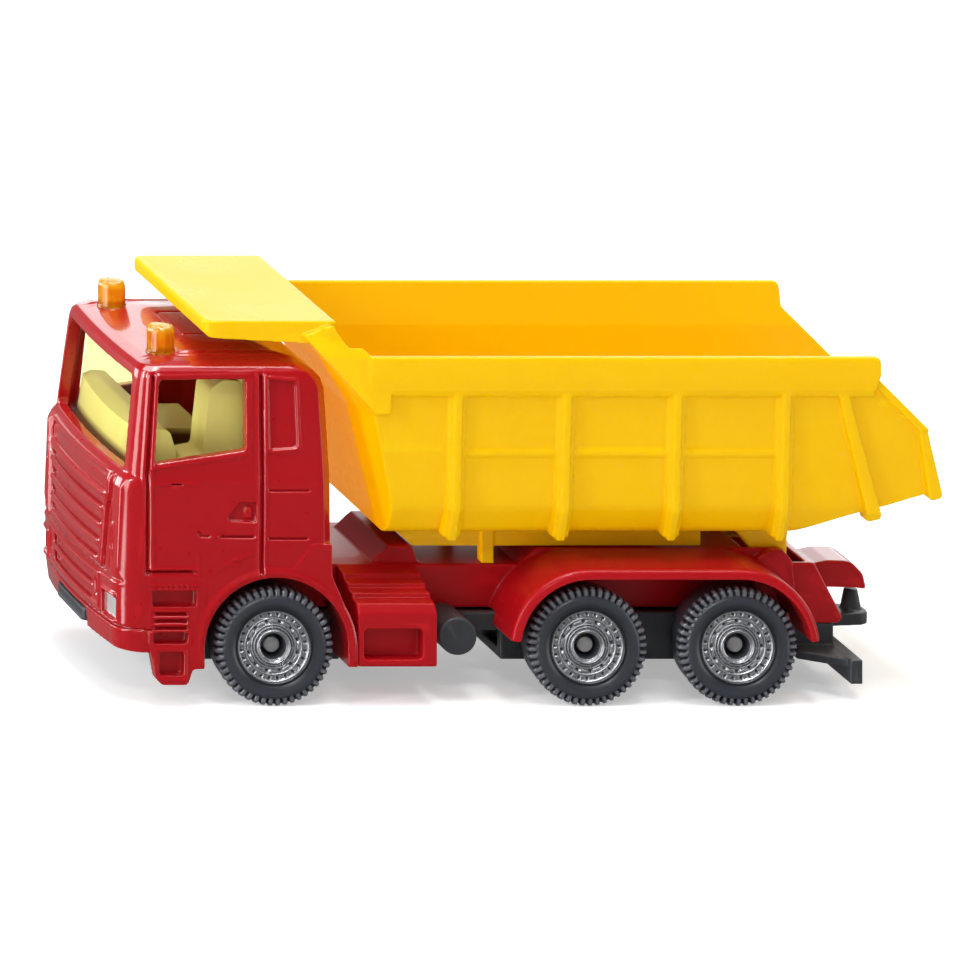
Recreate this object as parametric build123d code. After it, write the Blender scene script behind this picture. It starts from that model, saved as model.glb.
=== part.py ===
from build123d import *
import math
import os

# Toy dump truck, about 1:90: zinc-cast cab and chassis, black moulded base plate,
# tipping plastic body. One STEP file is written per piece.
# Frame: +Z up, -Y is the front of the truck, +X is its left side.
# Origin on the ground, in the middle of the length. All lengths in millimetres.

# ---- driving dimensions ----------------------------------------------------------------
Y_FRONT = -41.9            # front-most face (number plate bar)
Y_TAIL = 41.9              # rear-most edge (lip of the tipping body)
CANOPY_TOP = 38.45         # top of the canopy over the cab, highest point
RAIL_HALF_WIDTH = 14.25    # half width over the body rails, widest point

WHEEL_R = 5.95             # tyre outside radius
AXLE_Z = WHEEL_R
AXLE_Y = {"front": -25.12, "mid": 6.37, "rear": 21.43}
AXLE_R = 0.80
AXLE_CLEAR = 0.07          # radial running clearance of an axle in the base plate
AXLE_SLOT_R = AXLE_R + AXLE_CLEAR
AXLE_END = 12.1            # half length of an axle
AXLE_CHAMFER = 0.12
TYRE_OUT, TYRE_IN = 13.2, 9.1   # tyre outer and inner faces
RIM_R = 3.62

FRAME_HW = 6.7             # half width of the frame spine
FRAME_WALL = 1.2
FRAME_BOTTOM = 8.0         # parting face between casting and base plate
DECK_Z = 14.0              # fender deck
LOW_DECK_Z = 12.35         # deck behind the cab
LOCKER_FRONT, LOCKER_REAR = -16.9, -9.0

HINGE_Y, HINGE_Z = 27.4, 12.9
HINGE_R = 0.60
HINGE_CLEAR = 0.06
PIN_SEAT = 7.2             # end of the blind pin hole in the left ear

CAB_WALL = 1.05
GLAZE_OUT = CAB_WALL + 0.04      # insets from the cab's outer form
GLAZE_IN = GLAZE_OUT + 0.70
INTERIOR_INSET = GLAZE_IN + 0.06
ARCH_IN, ARCH_OUT = 7.2, 8.15    # wheel arch opening and liner radii
LINER_X = 8.2                    # inner end of the arch liners
BEACON_X, BEACON_Y, BEACON_R = 8.2, -35.1, 1.33

BASE_HW = 8.1
BASE_Z = 3.2
TRAY_TOP = FRAME_BOTTOM - 0.05
TRAY_WALL = 1.0
RIVET_R = 0.8
RIVET_HOLE_R = 0.85
FRONT_POST_Y = -36.4
REAR_POST_X, REAR_POST_Y = 5.6, -21.0
FRAME_POST_Y = (-4.0, 14.0)
# x, y, top z of each rivet
RIVETS = [
    (0.0, FRONT_POST_Y, 12.6),
    (REAR_POST_X, REAR_POST_Y, 17.5), (-REAR_POST_X, REAR_POST_Y, 17.5),
    (0.0, FRAME_POST_Y[0], 10.4), (0.0, FRAME_POST_Y[1], 10.4),
]


# ---- helpers ---------------------------------------------------------------------------
def rounded(corners):
    """Closed face from (a, b) or (a, b, radius) corners."""
    count = len(corners)
    arcs = []    # start, middle and end of each corner's arc; None for a sharp corner
    for i in range(count):
        corner, after = corners[i], corners[(i + 1) % count]
        radius = corner[2] if len(corner) > 2 else 0
        if radius <= 0:
            arcs.append(None)
            continue
        back = unit(corners[i - 1][0] - corner[0], corners[i - 1][1] - corner[1])
        ahead = unit(after[0] - corner[0], after[1] - corner[1])
        angle = math.acos(max(-1, min(1, back[0] * ahead[0] + back[1] * ahead[1])))
        inward = unit(back[0] + ahead[0], back[1] + ahead[1])
        trim = radius / math.tan(angle / 2)
        depth = radius / math.sin(angle / 2) - radius
        steps = ((back, trim), (inward, depth), (ahead, trim))
        arcs.append([(corner[0] + d[0] * s, corner[1] + d[1] * s) for d, s in steps])
    edges = []
    for i in range(count):
        arc, next_arc = arcs[i], arcs[(i + 1) % count]
        if arc:
            edges.append(ThreePointArc(*arc))
        start = arc[2] if arc else corners[i][:2]
        end = next_arc[0] if next_arc else corners[(i + 1) % count][:2]
        if math.hypot(start[0] - end[0], start[1] - end[1]) > 1e-6:
            edges.append(Line(start, end))
    return make_face(edges)


def unit(a, b):
    length = math.hypot(a, b)
    return (a / length, b / length)


def prism_x(corners, x0, x1):
    """Prism along X from a (y, z) outline."""
    return extrude(Plane.YZ.offset(x0) * rounded(corners), x1 - x0)


def prism_y(corners, y0, y1):
    """Prism along Y from an (x, z) outline."""
    return extrude(Plane.XZ.offset(-y0) * rounded(corners), -(y1 - y0))


def prism_z(corners, z0, z1):
    """Prism along Z from an (x, y) outline."""
    return extrude(Plane.XY.offset(z0) * rounded(corners), z1 - z0)


def trapezoid(low_half, z_low, high_half, z_high, radius=0):
    """Corners of an (x, z) trapezoid centred on x = 0."""
    return [
        (-low_half, z_low, radius), (low_half, z_low, radius),
        (high_half, z_high, radius), (-high_half, z_high, radius),
    ]


def box(x0, x1, y0, y1, z0, z1):
    centre = Pos((x0 + x1) / 2, (y0 + y1) / 2, (z0 + z1) / 2)
    return centre * Box(x1 - x0, y1 - y0, z1 - z0)


def rod_x(radius, x0, x1, y, z):
    return Pos((x0 + x1) / 2, y, z) * Rot(0, 90, 0) * Cylinder(radius, x1 - x0)


def rod_z(radius, z0, z1, x, y):
    return Pos(x, y, (z0 + z1) / 2) * Cylinder(radius, z1 - z0)


def cone_z(bottom_r, top_r, height, x, y, z):
    """Upright cone standing on z."""
    standing = (Align.CENTER, Align.CENTER, Align.MIN)
    return Pos(x, y, z) * Cone(bottom_r, top_r, height, align=standing)


def both(shape):
    """The shape and its mirror image across the centre plane."""
    return shape + mirror(shape, Plane.YZ)


def joined(shapes):
    total = shapes[0]
    for shape in shapes[1:]:
        total = total + shape
    return total


def save(shape, name):
    solids = shape.solids()
    out = solids[0] if len(solids) == 1 else Compound(children=list(solids))
    export_step(out, f"parts/{name}.step")


# ---- cab outer form: lofted plan sections ------------------------------------------------
# z, y of the front at the centre, how far the front falls back at the corner,
# half width, rear y, corner radius
CAB_SECTIONS = [
    (5.5, -41.55, 0.75, 13.30, -19.45, 2.9),
    (8.0, -41.80, 0.75, 13.60, -19.45, 2.9),
    (14.0, -41.75, 0.72, 13.65, -19.45, 2.8),
    (21.8, -41.40, 0.70, 13.50, -19.45, 2.6),
    (22.7, -41.05, 0.68, 13.45, -19.45, 2.5),
    (23.2, -40.45, 0.62, 13.38, -19.45, 2.3),
    (31.6, -39.25, 0.45, 12.62, -19.75, 1.9),
    (32.7, -39.05, 0.42, 12.50, -20.10, 1.8),
    (33.4, -38.85, 0.40, 12.30, -20.80, 1.8),
    (33.85, -38.40, 0.38, 11.90, -21.60, 1.8),
    (34.15, -37.20, 0.35, 11.20, -22.80, 1.8),
    (34.55, -34.30, 0.30, 9.60, -24.00, 1.8),
    (34.9, -31.50, 0.20, 7.00, -25.50, 1.6),
]
CAB_ROOF_Z = CAB_SECTIONS[-1][0]
REAR_BEVEL = 0.9           # bevel of the rear corners


def cab_section(z, front_y, fall, half_width, rear_y, radius, inset):
    front_y += inset
    half_width -= inset
    rear_y -= inset
    radius = max(0.6, radius - inset * 0.6)
    corner_y = front_y + fall
    flat_x = half_width - radius
    side_y = corner_y + radius
    mid_x = flat_x + radius * 0.7071
    mid_y = side_y - radius * 0.7071
    side_end = (half_width, rear_y - REAR_BEVEL)
    rear_end = (half_width - REAR_BEVEL, rear_y)
    edges = [
        Line((half_width, side_y), side_end),
        Line(side_end, rear_end),
        Line(rear_end, (-rear_end[0], rear_end[1])),
        Line((-rear_end[0], rear_end[1]), (-side_end[0], side_end[1])),
        Line((-side_end[0], side_end[1]), (-half_width, side_y)),
        ThreePointArc((-half_width, side_y), (-mid_x, mid_y), (-flat_x, corner_y)),
        ThreePointArc((-flat_x, corner_y), (0, front_y), (flat_x, corner_y)),
        ThreePointArc((flat_x, corner_y), (mid_x, mid_y), (half_width, side_y)),
    ]
    return Plane.XY.offset(z) * make_face(edges)


def cab_form(inset, bottom_z=CAB_SECTIONS[0][0]):
    """The cab's outer form, moved in by inset and reaching down to bottom_z."""
    sections = [list(section) for section in CAB_SECTIONS]
    sections[0][0] = bottom_z
    for section in sections:
        if section[0] > 30:    # the roof sections also come down
            section[0] -= inset
    return loft([cab_section(*section, inset) for section in sections], ruled=True)


def recess(region, depth):
    """What to remove so that a region of the cab's skin sinks by depth."""
    return region - cab_form(depth, 0.0)


# ---- cab shell ---------------------------------------------------------------------------
# (y, z, radius) outlines seen from the side
STEP_BLOCK = [
    (-37.9, 6.5), (-37.2, 3.0, 0.6), (-36.6, 2.35, 0.6), (-34.0, 2.35, 0.6),
    (-33.5, 3.9, 0.3), (-32.2, 4.0), (-32.2, 13.2), (-37.9, 13.2),
]
REAR_SKIRT = [
    (-21.5, 16.5), (-19.6, 16.5), (-19.5, 13.2, 1.5), (-17.3, 8.2, 2.0),
    (-16.97, 5.0), (-16.97, 4.2), (-25, 4.2), (-25, 12),
]
SIDE_WINDOW = [(-37.2, 24.4, 0.3), (-28.05, 25.75, 0.3), (-27.85, 32.7, 0.3), (-36.6, 32.6, 0.4)]
SIDE_GROOVES = [
    # door front, rear and bottom edges
    [(-38.25, 13.6), (-37.95, 13.6), (-37.85, 23.2), (-36.95, 33.0), (-37.25, 33.0),
     (-38.15, 23.2)],
    [(-26.75, 13.4), (-26.45, 13.4), (-26.15, 33.1), (-26.45, 33.1)],
    [(-38.25, 13.6), (-33.4, 13.6), (-33.4, 13.85), (-38.25, 13.85)],
    # upper lines, on the door and behind it
    [(-37.1, 22.35), (-33.0, 22.25), (-33.0, 22.45), (-37.1, 22.55)],
    [(-25.9, 21.7), (-21.7, 21.7), (-21.7, 21.9), (-25.9, 21.9)],
    # lower lines, on the door and behind it
    [(-32.8, 17.15), (-27.3, 17.05), (-27.3, 17.3), (-32.6, 17.4), (-32.9, 17.9),
     (-33.1, 17.8)],
    [(-25.9, 16.9), (-21.9, 16.9), (-21.9, 17.15), (-25.9, 17.15)],
]
QUARTER_PANEL = [(-25.65, 25.8, 0.5), (-22.8, 26.0, 0.5), (-22.9, 32.5, 0.5), (-25.6, 32.7, 0.3)]
HANDLE_POCKET = [(-30.2, 18.8, 0.3), (-27.1, 18.6, 0.2), (-27.1, 20.7, 0.3), (-28.7, 20.7, 0.4)]
# bottom z, height, front y, rear y
STEP_TREADS = [(10.2, 1.65, -37.6, -33.2), (6.5, 1.15, -37.5, -34.1), (3.3, 2.35, -36.9, -34.5)]
SLAT_TOP_Z, SLAT_PITCH, SLAT_HEIGHT = 18.9, 1.75, 0.95


def cut_arches(cab):
    """Wheel arches: a side opening with a liner inboard, and the skirt behind it."""
    y = AXLE_Y["front"]
    opening = rod_x(ARCH_IN, 7.0, 16, y, AXLE_Z) + box(
        7.0, 16, y - ARCH_IN, y + ARCH_IN, -2, AXLE_Z)
    liner = rod_x(ARCH_OUT, LINER_X, 13.75, y, AXLE_Z) + box(
        LINER_X, 13.75, y - ARCH_OUT, y + ARCH_OUT, 4.2, AXLE_Z)
    liner = liner & box(0, 20, -60, 0, 4.2, 60)
    return cab + both(liner + prism_x(REAR_SKIRT, 12.55, 13.75)) - both(opening)


def cut_front_relief(cab):
    def front(corners, y_rear=-38.2):
        return prism_y(corners, -46, y_rear)

    # blank bonnet panel and slats, narrowing downwards
    panels = [front(trapezoid(9.0, 20.6, 9.3, 22.3, 0.4))]
    for i in range(4):
        half, z = 8.6 - 0.28 * i, SLAT_TOP_Z - SLAT_PITCH * i
        panels.append(front(trapezoid(half, z, half + 0.15, z + SLAT_HEIGHT, 0.25)))
    deep_slats = [
        front(trapezoid(6.6, 10.55, 6.75, 11.6, 0.3)),
        front(trapezoid(6.4, 8.95, 6.5, 9.95, 0.3)),
    ]
    grille_bottom = front(trapezoid(10.2, 12.55, 10.2, 12.9))
    grille_sides = both(front([(9.35, 13.0), (9.7, 13.0), (10.25, 19.8), (9.9, 19.8)]))
    headlamps = both(front(
        [(9.3, 8.4, 0.3), (12.0, 8.35, 0.3), (12.0, 10.75, 0.3), (9.3, 10.75, 0.3)], -38.0))
    bumper_line = front(trapezoid(16, 7.75, 16, 8.0), -37.5)
    for region, depth in (
        (joined(panels), 0.3), (joined(deep_slats), 0.45), (headlamps, 0.28),
        (grille_bottom, 0.22), (grille_sides, 0.22), (bumper_line, 0.22),
    ):
        cab = cab - recess(region, depth)
    return cab


def cut_side_relief(cab):
    """Door outline, character lines, quarter panel, door handle and steps."""
    def side(corners):
        return prism_x(corners, 11.5, 16)

    grooves = joined([side(corners) for corners in SIDE_GROOVES])
    for region, depth in (
        (grooves, 0.3), (side(QUARTER_PANEL), 0.28), (side(HANDLE_POCKET), 0.4),
    ):
        cab = cab - both(recess(region, depth))
    cab = cab + both(
        rod_x(0.38, 12.9, 13.42, -27.85, 19.6) + box(12.9, 13.42, -28.15, -27.55, 19.1, 20.1))

    for z, height, front_y, rear_y in STEP_TREADS:
        tread = [
            (front_y, z, 0.3), (rear_y, z, 0.3),
            (rear_y + 0.1, z + height, 0.3), (front_y, z + height, 0.3),
        ]
        cab = cab - both(prism_x(tread, 12.75, 16))
    # three thin grooves between the upper two treads
    for z in (7.95, 8.65, 9.35):
        groove = [(-37.4, z), (-34.0, z), (-34.0, z + 0.3), (-37.4, z + 0.3)]
        cab = cab - both(prism_x(groove, 13.35, 16))
    return cab


def hatch_outline(half_width, front_y, rear_y, radius):
    return [
        (-half_width, front_y, radius), (half_width, front_y, radius),
        (half_width, rear_y, radius), (-half_width, rear_y, radius),
    ]


def make_cab_shell():
    cab = cab_form(0) + both(prism_x(STEP_BLOCK, 11.2, 13.7))
    cab = cab - cab_form(CAB_WALL, 1.0)
    cab = cut_arches(cab)
    # clear the low middle, and everything behind the skirt
    cab = cab - box(-LINER_X, LINER_X, -60, -10, -5, 5.0)
    cab = cab - box(-20, 20, -16.96, 0, -5, 60)
    # open underside between the liners so the frame and base plate enter from below
    cab = cab - box(-LINER_X, LINER_X, -37.6, -15, -5, 13.2)

    windscreen = prism_y(trapezoid(11.4, 23.4, 10.55, 32.6, 0.7), -45, -36.5)
    cab = cab - windscreen - both(prism_x(SIDE_WINDOW, 8, 16))
    cab = cut_front_relief(cab)
    cab = cut_side_relief(cab)

    # roof: hatch outline groove and beacon holes
    hatch = prism_z(hatch_outline(4.2, -32.0, -24.5, 0.4), CAB_ROOF_Z - 0.2, 40) - prism_z(
        hatch_outline(3.9, -31.7, -24.8, 0.3), CAB_ROOF_Z - 1, 41)
    cab = cab - hatch
    for side in (-1, 1):
        cab = cab - rod_z(BEACON_R + 0.05, 30, 40, side * BEACON_X, BEACON_Y)

    # notch for the number plate bar
    cab = cab - box(-4.55, 4.55, -46, -38, 4, 7.35)
    # front fixing post tied to the front wall, and two rear posts
    post = rod_z(1.5, 8.05, 13.6, 0, FRONT_POST_Y)
    tie = box(-1.2, 1.2, -41.0, FRONT_POST_Y, 9.0, 13.6)
    cab = cab + ((post + tie) & cab_form(0.3, 1.0))
    cab = cab + both(
        rod_z(1.5, 13.25, 20.0, REAR_POST_X, REAR_POST_Y)
        + box(4.6, 6.6, -21.2, -20.0, 13.25, 20.0))
    cab = cab - rod_z(RIVET_R, 3, 12.8, 0, FRONT_POST_Y)
    for x in (-REAR_POST_X, REAR_POST_X):
        cab = cab - rod_z(RIVET_R, 10, 18, x, REAR_POST_Y)
    return cab


# ---- glazing and beacons: one clear moulding -----------------------------------------------
def make_glazing():
    glazing = cab_form(GLAZE_OUT, 1.0) - cab_form(GLAZE_IN, 0.0)
    keep_screen = prism_y(trapezoid(12.2, 22.5, 11.3, 35), -45, -35.2)
    keep_sides = both(prism_x([(-40, 22.9), (-26.9, 22.9), (-26.9, 35), (-40, 35)], 5, 16))
    keep_roof = box(-10.6, 10.6, -38.0, -31.0, 32.4, 40)
    glazing = glazing & (keep_screen + keep_sides + keep_roof)
    beacon_shoulder = 36.6
    for side in (-1, 1):
        x = side * BEACON_X
        stub = rod_z(BEACON_R, 32.9, beacon_shoulder, x, BEACON_Y)
        cap = cone_z(BEACON_R, 0.85, 0.5, x, BEACON_Y, beacon_shoulder)
        glazing = glazing + stub + cap
    return glazing


# ---- interior moulding ---------------------------------------------------------------------
# (y, z, radius) outlines seen from the side
DASH = [
    (-40, 22.3), (-34.0, 22.3), (-34.3, 25.0, 0.4), (-34.9, 27.0, 0.7), (-36.5, 27.1, 1.2),
    (-40, 25.4),
]
SEAT = [
    (-33.6, 22.2), (-33.6, 24.0, 0.6), (-31.4, 24.4, 0.5), (-30.7, 30.9, 1.2),
    (-29.3, 31.9, 0.9), (-27.2, 31.8, 0.9), (-27.0, 22.2),
]
BENCH = [(-33.6, 22.2), (-33.6, 23.9, 0.6), (-27.5, 23.9, 0.5), (-27.5, 22.2)]


def make_interior():
    inner = cab_form(INTERIOR_INSET, 1.0)
    floor = box(-14, 14, -40, -21.2, 21.4, 22.4) & inner
    dash = prism_x(DASH, -10.6, 10.6) & inner
    # seat with backrest on the left, low bench on the right
    seats = (prism_x(SEAT, 5.7, 9.9) + prism_x(BENCH, -9.6, -1.0)) & inner
    bulkhead = box(-10.8, 10.8, -23.6, -22.4, 22.2, 31.5) & inner
    interior = floor + dash + seats + bulkhead
    return interior - rod_z(1.55, 8, 20.3, 0, FRONT_POST_Y)


# ---- chassis casting -------------------------------------------------------------------------
LOW_CEILING = LOW_DECK_Z - FRAME_WALL
DECK_CEILING = DECK_Z - FRAME_WALL
# (y, z, radius) outlines seen from the side
SPINE = [
    (-34.2, FRAME_BOTTOM), (-34.2, LOW_DECK_Z), (-13.1, LOW_DECK_Z), (-11.3, DECK_Z),
    (-9.0, DECK_Z), (-8.4, LOW_DECK_Z), (1.5, LOW_DECK_Z), (3.4, DECK_Z),
    (28.2, DECK_Z, 0.4), (28.9, 12.5), (31.45, 12.5, 0.5), (34.3, 7.0, 0.5),
    (33.9, 6.4), (28.6, 6.4), (28.6, FRAME_BOTTOM),
]
SPINE_HOLLOW = [
    (-33.0, FRAME_BOTTOM - 3), (-33.0, LOW_CEILING), (-12.6, LOW_CEILING),
    (-10.8, DECK_CEILING), (-9.6, DECK_CEILING), (-9.0, LOW_CEILING), (2.1, LOW_CEILING),
    (3.9, DECK_CEILING), (23.4, DECK_CEILING), (23.4, 11.0), (31.3, 10.9), (33.1, 7.4),
    (32.8, 3),
]
LOCKER_WINDOW = [(-16.3, 4.9, 0.5), (-10.4, 4.9, 0.5), (-10.4, 8.0, 0.5), (-16.3, 8.0, 0.5)]
TAIL_GUARD = [
    (31.0, 11.7), (33.0, 11.15, 0.8), (34.4, 11.45, 0.8), (36.7, 11.4, 1.6),
    (37.95, 10.1, 1.2), (38.3, 8.5, 0.2), (37.3, 8.65), (34.2, 8.75), (32.6, 9.6), (31.0, 9.6),
]
TAIL_GUARD_HOLLOW = [
    (33.9, 8.0), (33.9, 10.35, 0.5), (36.2, 10.4, 1.0), (37.25, 9.3, 0.6), (37.35, 8.0),
]
HINGE_EAR = [
    (25.0, 11.5), (25.3, 13.2, 0.6), (26.7, 14.05, 0.6), (28.0, 14.05, 0.7),
    (28.9, 12.9, 0.6), (29.2, 9.5), (25.0, 9.5),
]
# (x, z, radius) outlines of the left locker seen along the truck
LOCKER = [
    (6.0, 12.35), (6.7, 12.35), (8.6, 12.0, 0.15), (8.75, 11.6, 0.1), (10.1, 11.45, 0.15),
    (10.25, 11.05, 0.1), (11.5, 10.95, 0.15), (11.65, 10.5, 0.1), (12.9, 10.4, 0.3),
    (13.6, 9.5, 0.5), (13.6, 4.1, 0.4), (7.2, 4.1, 0.3), (7.2, 8.6), (6.0, 8.6),
]
LOCKER_HOLLOW = [(8.4, 10.4), (11.0, 9.4), (11.0, 5.2), (8.4, 5.2)]


def fender_outline(radius, drop):
    """(y, z) face round both rear axles, reaching drop below them."""
    mid, rear = AXLE_Y["mid"], AXLE_Y["rear"]
    diagonal = radius * 0.7071
    front_end, rear_end = mid - radius, rear + radius
    top, bottom = AXLE_Z + radius, AXLE_Z - drop
    return make_face([
        Line((front_end, bottom), (front_end, AXLE_Z)),
        ThreePointArc((front_end, AXLE_Z), (mid - diagonal, AXLE_Z + diagonal), (mid, top)),
        Line((mid, top), (rear, top)),
        ThreePointArc((rear, top), (rear + diagonal, AXLE_Z + diagonal), (rear_end, AXLE_Z)),
        Line((rear_end, AXLE_Z), (rear_end, bottom)),
        Line((rear_end, bottom), (front_end, bottom)),
    ])


def make_fender():
    """Left twin-axle fender: a strip 1.0 thick, from the spine outwards."""
    outer_r = DECK_Z - AXLE_Z
    inner_x, outer_x = FRAME_HW - 0.6, 14.0
    outer = extrude(Plane.YZ.offset(inner_x) * fender_outline(outer_r, 3.0), outer_x - inner_x)
    outer_rim = [
        edge for edge in outer.edges()
        if abs(edge.center().X - outer_x) < 1e-5 and edge.center().Z > AXLE_Z - 2.9
    ]
    outer = fillet(outer_rim, 0.75)
    inner = extrude(Plane.YZ.offset(0) * fender_outline(outer_r - 1.0, 8.0), 20)
    # it reaches lower outside the base plate than above it
    return (outer - inner) & (
        box(BASE_HW + 0.1, 20, -10, 40, 6.75, 20) + box(0, 20, -10, 40, FRAME_BOTTOM, 20))


def make_locker():
    """Left side locker behind the cab, with a stepped top."""
    locker = prism_y(LOCKER, LOCKER_FRONT, LOCKER_REAR)
    locker = locker - prism_x(LOCKER_WINDOW, 12.0, 15)
    return locker - prism_y(LOCKER_HOLLOW, LOCKER_FRONT + 1.0, LOCKER_REAR - 1.0)


def make_chassis():
    inner_hw = FRAME_HW - FRAME_WALL
    frame = prism_x(SPINE, -FRAME_HW, FRAME_HW) - prism_x(SPINE_HOLLOW, -inner_hw, inner_hw)
    # the ends of the up-stand behind the cab are set in from the frame side
    frame = frame - both(box(6.0, 8, -13.2, -8.3, LOW_DECK_Z, 16))
    frame = frame + both(make_fender())
    frame = frame + both(make_locker())

    # narrow guard curling over the tow peg
    guard = prism_x(TAIL_GUARD, -2.5, 2.5) - prism_x(TAIL_GUARD_HOLLOW, -1.8, 1.8)
    frame = frame + guard
    # hinge ears, and the pocket between them for the body's brackets
    frame = frame + both(prism_x(HINGE_EAR, 6.3, 7.6))
    frame = frame - box(-6.2, 6.2, 24.3, 30.6, 9.0, 20)
    # the pin goes in from the right and seats in a blind hole on the left
    frame = frame - rod_x(HINGE_R, -10, PIN_SEAT, HINGE_Y, HINGE_Z)
    # floor under the hinge pocket keeps the tail tied to the spine
    frame = frame + box(-6.3, 6.3, 23.0, 31.4, 8.0, 8.9)

    # bearing caps that close the axle slots of the base plate from above
    cap_z = AXLE_Z + AXLE_SLOT_R + 0.03
    for y in AXLE_Y.values():
        frame = frame + both(box(5.6, 6.6, y - 0.78, y + 0.78, cap_z, 12.2))
    # riveting posts
    for y in FRAME_POST_Y:
        deck = LOW_DECK_Z if y < 0 else DECK_Z
        frame = frame + rod_z(1.6, 5.25, deck - 0.6, 0.0, y)
        frame = frame - rod_z(RIVET_R, 3, 10.6, 0.0, y)
    # holes and bosses for the rivets that reach the rear cab posts
    for x in (-REAR_POST_X, REAR_POST_X):
        frame = frame - rod_z(RIVET_HOLE_R, 3, 20, x, REAR_POST_Y)
    boss = rod_z(1.5, 8.0, 11.4, 5.0, REAR_POST_Y) - rod_z(
        RIVET_HOLE_R, 3, 20, REAR_POST_X, REAR_POST_Y)
    frame = frame + both(boss)
    # trim to a generous envelope round the truck
    return frame & box(-20, 20, -60, 60, -5, 60)


# ---- base plate --------------------------------------------------------------------------------
TRAY_FRONT, TRAY_REAR = -38.2, 28.5
TRAY_RIB_Y = (-31.5, -13.0, -8.0, 0.5, 10.5, 17.5, 26.5)
WAIST_X = 7.1              # half width of the tray between the lockers
NOTCH_FRONT, NOTCH_REAR = -8.9, -0.8


def add_tanks(base):
    """Notch across the tray, bridged in the middle, with an air tank on each side."""
    y = FRAME_POST_Y[0]
    bridge = box(-2.6, 2.6, NOTCH_FRONT - 1.2, NOTCH_REAR + 1.2, 4.2, 6.2)
    base = base + (bridge - rod_z(RIVET_HOLE_R, 0, 10, 0, y) - rod_z(1.65, 5.2, 7, 0, y))
    side_cuts = both(box(2.55, 20, NOTCH_FRONT, NOTCH_REAR, 0, 6.15))
    middle_cut = box(-2.6, 2.6, NOTCH_FRONT, NOTCH_REAR, 0, 4.4) - rod_z(2.4, -1, 6, 0, y)
    base = base - side_cuts - middle_cut
    tank = rod_x(1.9, 7.2, 12.3, -6.45, 6.8)
    return base + both(tank + box(6.75, 8.6, -7.4, -4.9, 6.2, TRAY_TOP))


def add_tail(base):
    """Rear underrun bar on two arms, tow tongue and peg."""
    bar = box(-11.6, 11.6, 33.2, 34.45, 1.8, 4.25)
    bar = bar - box(-10.9, 10.9, 34.15, 35, 2.35, 3.7)
    brace = prism_z([(5.2, 29.0), (8.3, 29.0), (11.2, 33.4), (6.8, 33.4)], 3.3, 4.2)
    arms = both(brace + box(5.2, 6.6, 29.0, 33.4, 3.3, 6.4) + box(3.6, 5.3, 28.0, 33.8, 3.3, 6.4))
    base = base + bar + arms
    base = base + box(-5.2, 5.2, 28.0, 32.2, 3.3, 6.4)
    tongue = prism_z(
        [(-2.2, 31.5), (2.2, 31.5), (1.5, 39.1, 1.4), (-1.5, 39.1, 1.4)], 4.6, 5.85)
    return base + tongue + cone_z(1.05, 0.65, 2.1, 0, 37.6, 5.8)


def make_base_plate():
    plan = [
        (-BASE_HW, TRAY_FRONT, 0.8), (BASE_HW, TRAY_FRONT, 0.8),
        (BASE_HW, TRAY_REAR, 0.8), (-BASE_HW, TRAY_REAR, 0.8),
    ]
    inner_hw = BASE_HW - TRAY_WALL
    base = prism_z(plan, BASE_Z, TRAY_TOP)
    base = base - box(
        -inner_hw, inner_hw, TRAY_FRONT + TRAY_WALL, TRAY_REAR - TRAY_WALL, BASE_Z + 1.1, 20)
    # the tray is waisted at the lockers, which hang outside it
    base = base - both(box(WAIST_X + 0.05, 20, LOCKER_FRONT - 0.1, LOCKER_REAR + 0.1, -5, 20))
    base = base + both(box(
        WAIST_X - TRAY_WALL, WAIST_X, LOCKER_FRONT - 1.0, LOCKER_REAR + 1.0, BASE_Z, TRAY_TOP))
    # axle slots, open upwards, in thickened side walls
    for y in AXLE_Y.values():
        base = base + both(box(6.7, BASE_HW, y - 2.2, y + 2.2, BASE_Z, TRAY_TOP))
        base = base - rod_x(AXLE_SLOT_R, -20, 20, y, AXLE_Z) - box(
            -20, 20, y - AXLE_SLOT_R, y + AXLE_SLOT_R, AXLE_Z, 20)
    # number plate bar, with a shallow panel in its face
    plate = [
        (-4.4, -38.0), (4.4, -38.0), (4.4, -41.5, 0.3), (4.0, Y_FRONT, 0.1),
        (-4.0, Y_FRONT, 0.1), (-4.4, -41.5, 0.3),
    ]
    base = base + prism_z(plate, 5.9, 7.25)
    base = base - box(-4.0, 4.0, -42.5, Y_FRONT + 0.12, 6.1, 7.05)
    # pillars under the posts, drilled and countersunk for the rivets
    base = base + rod_z(2.2, BASE_Z, FRAME_BOTTOM, 0, FRONT_POST_Y)
    for x in (-REAR_POST_X, REAR_POST_X):
        base = base + rod_z(1.7, BASE_Z, TRAY_TOP, x, REAR_POST_Y)
    for y in FRAME_POST_Y:
        base = base + rod_z(2.4, BASE_Z, 5.2, 0.0, y)
    for x, y, _ in RIVETS:
        base = base - rod_z(RIVET_HOLE_R, 0, 10, x, y) - rod_z(1.6, 0, BASE_Z + 0.85, x, y)
    # stiffening ribs across the tray, shorter at the waist
    for y in TRAY_RIB_Y:
        half = 6.2 if LOCKER_FRONT - 1 < y < LOCKER_REAR + 1 else inner_hw
        base = base + box(-half, half, y - 0.35, y + 0.35, BASE_Z + 1.0, 5.0)
    # front corners of the tray are cut up to clear the bumper's lower edge
    base = base - both(box(2.4, 20, -39, -33.5, 0, 5.0))
    base = add_tanks(base)
    # mud flaps behind the front wheels
    flap = [(-19.4, 3.4), (-17.3, 3.4), (-17.3, 7.9), (-18.6, 7.9)]
    base = base + both(prism_x(flap, 7.4, BASE_HW))
    return add_tail(base)


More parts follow.
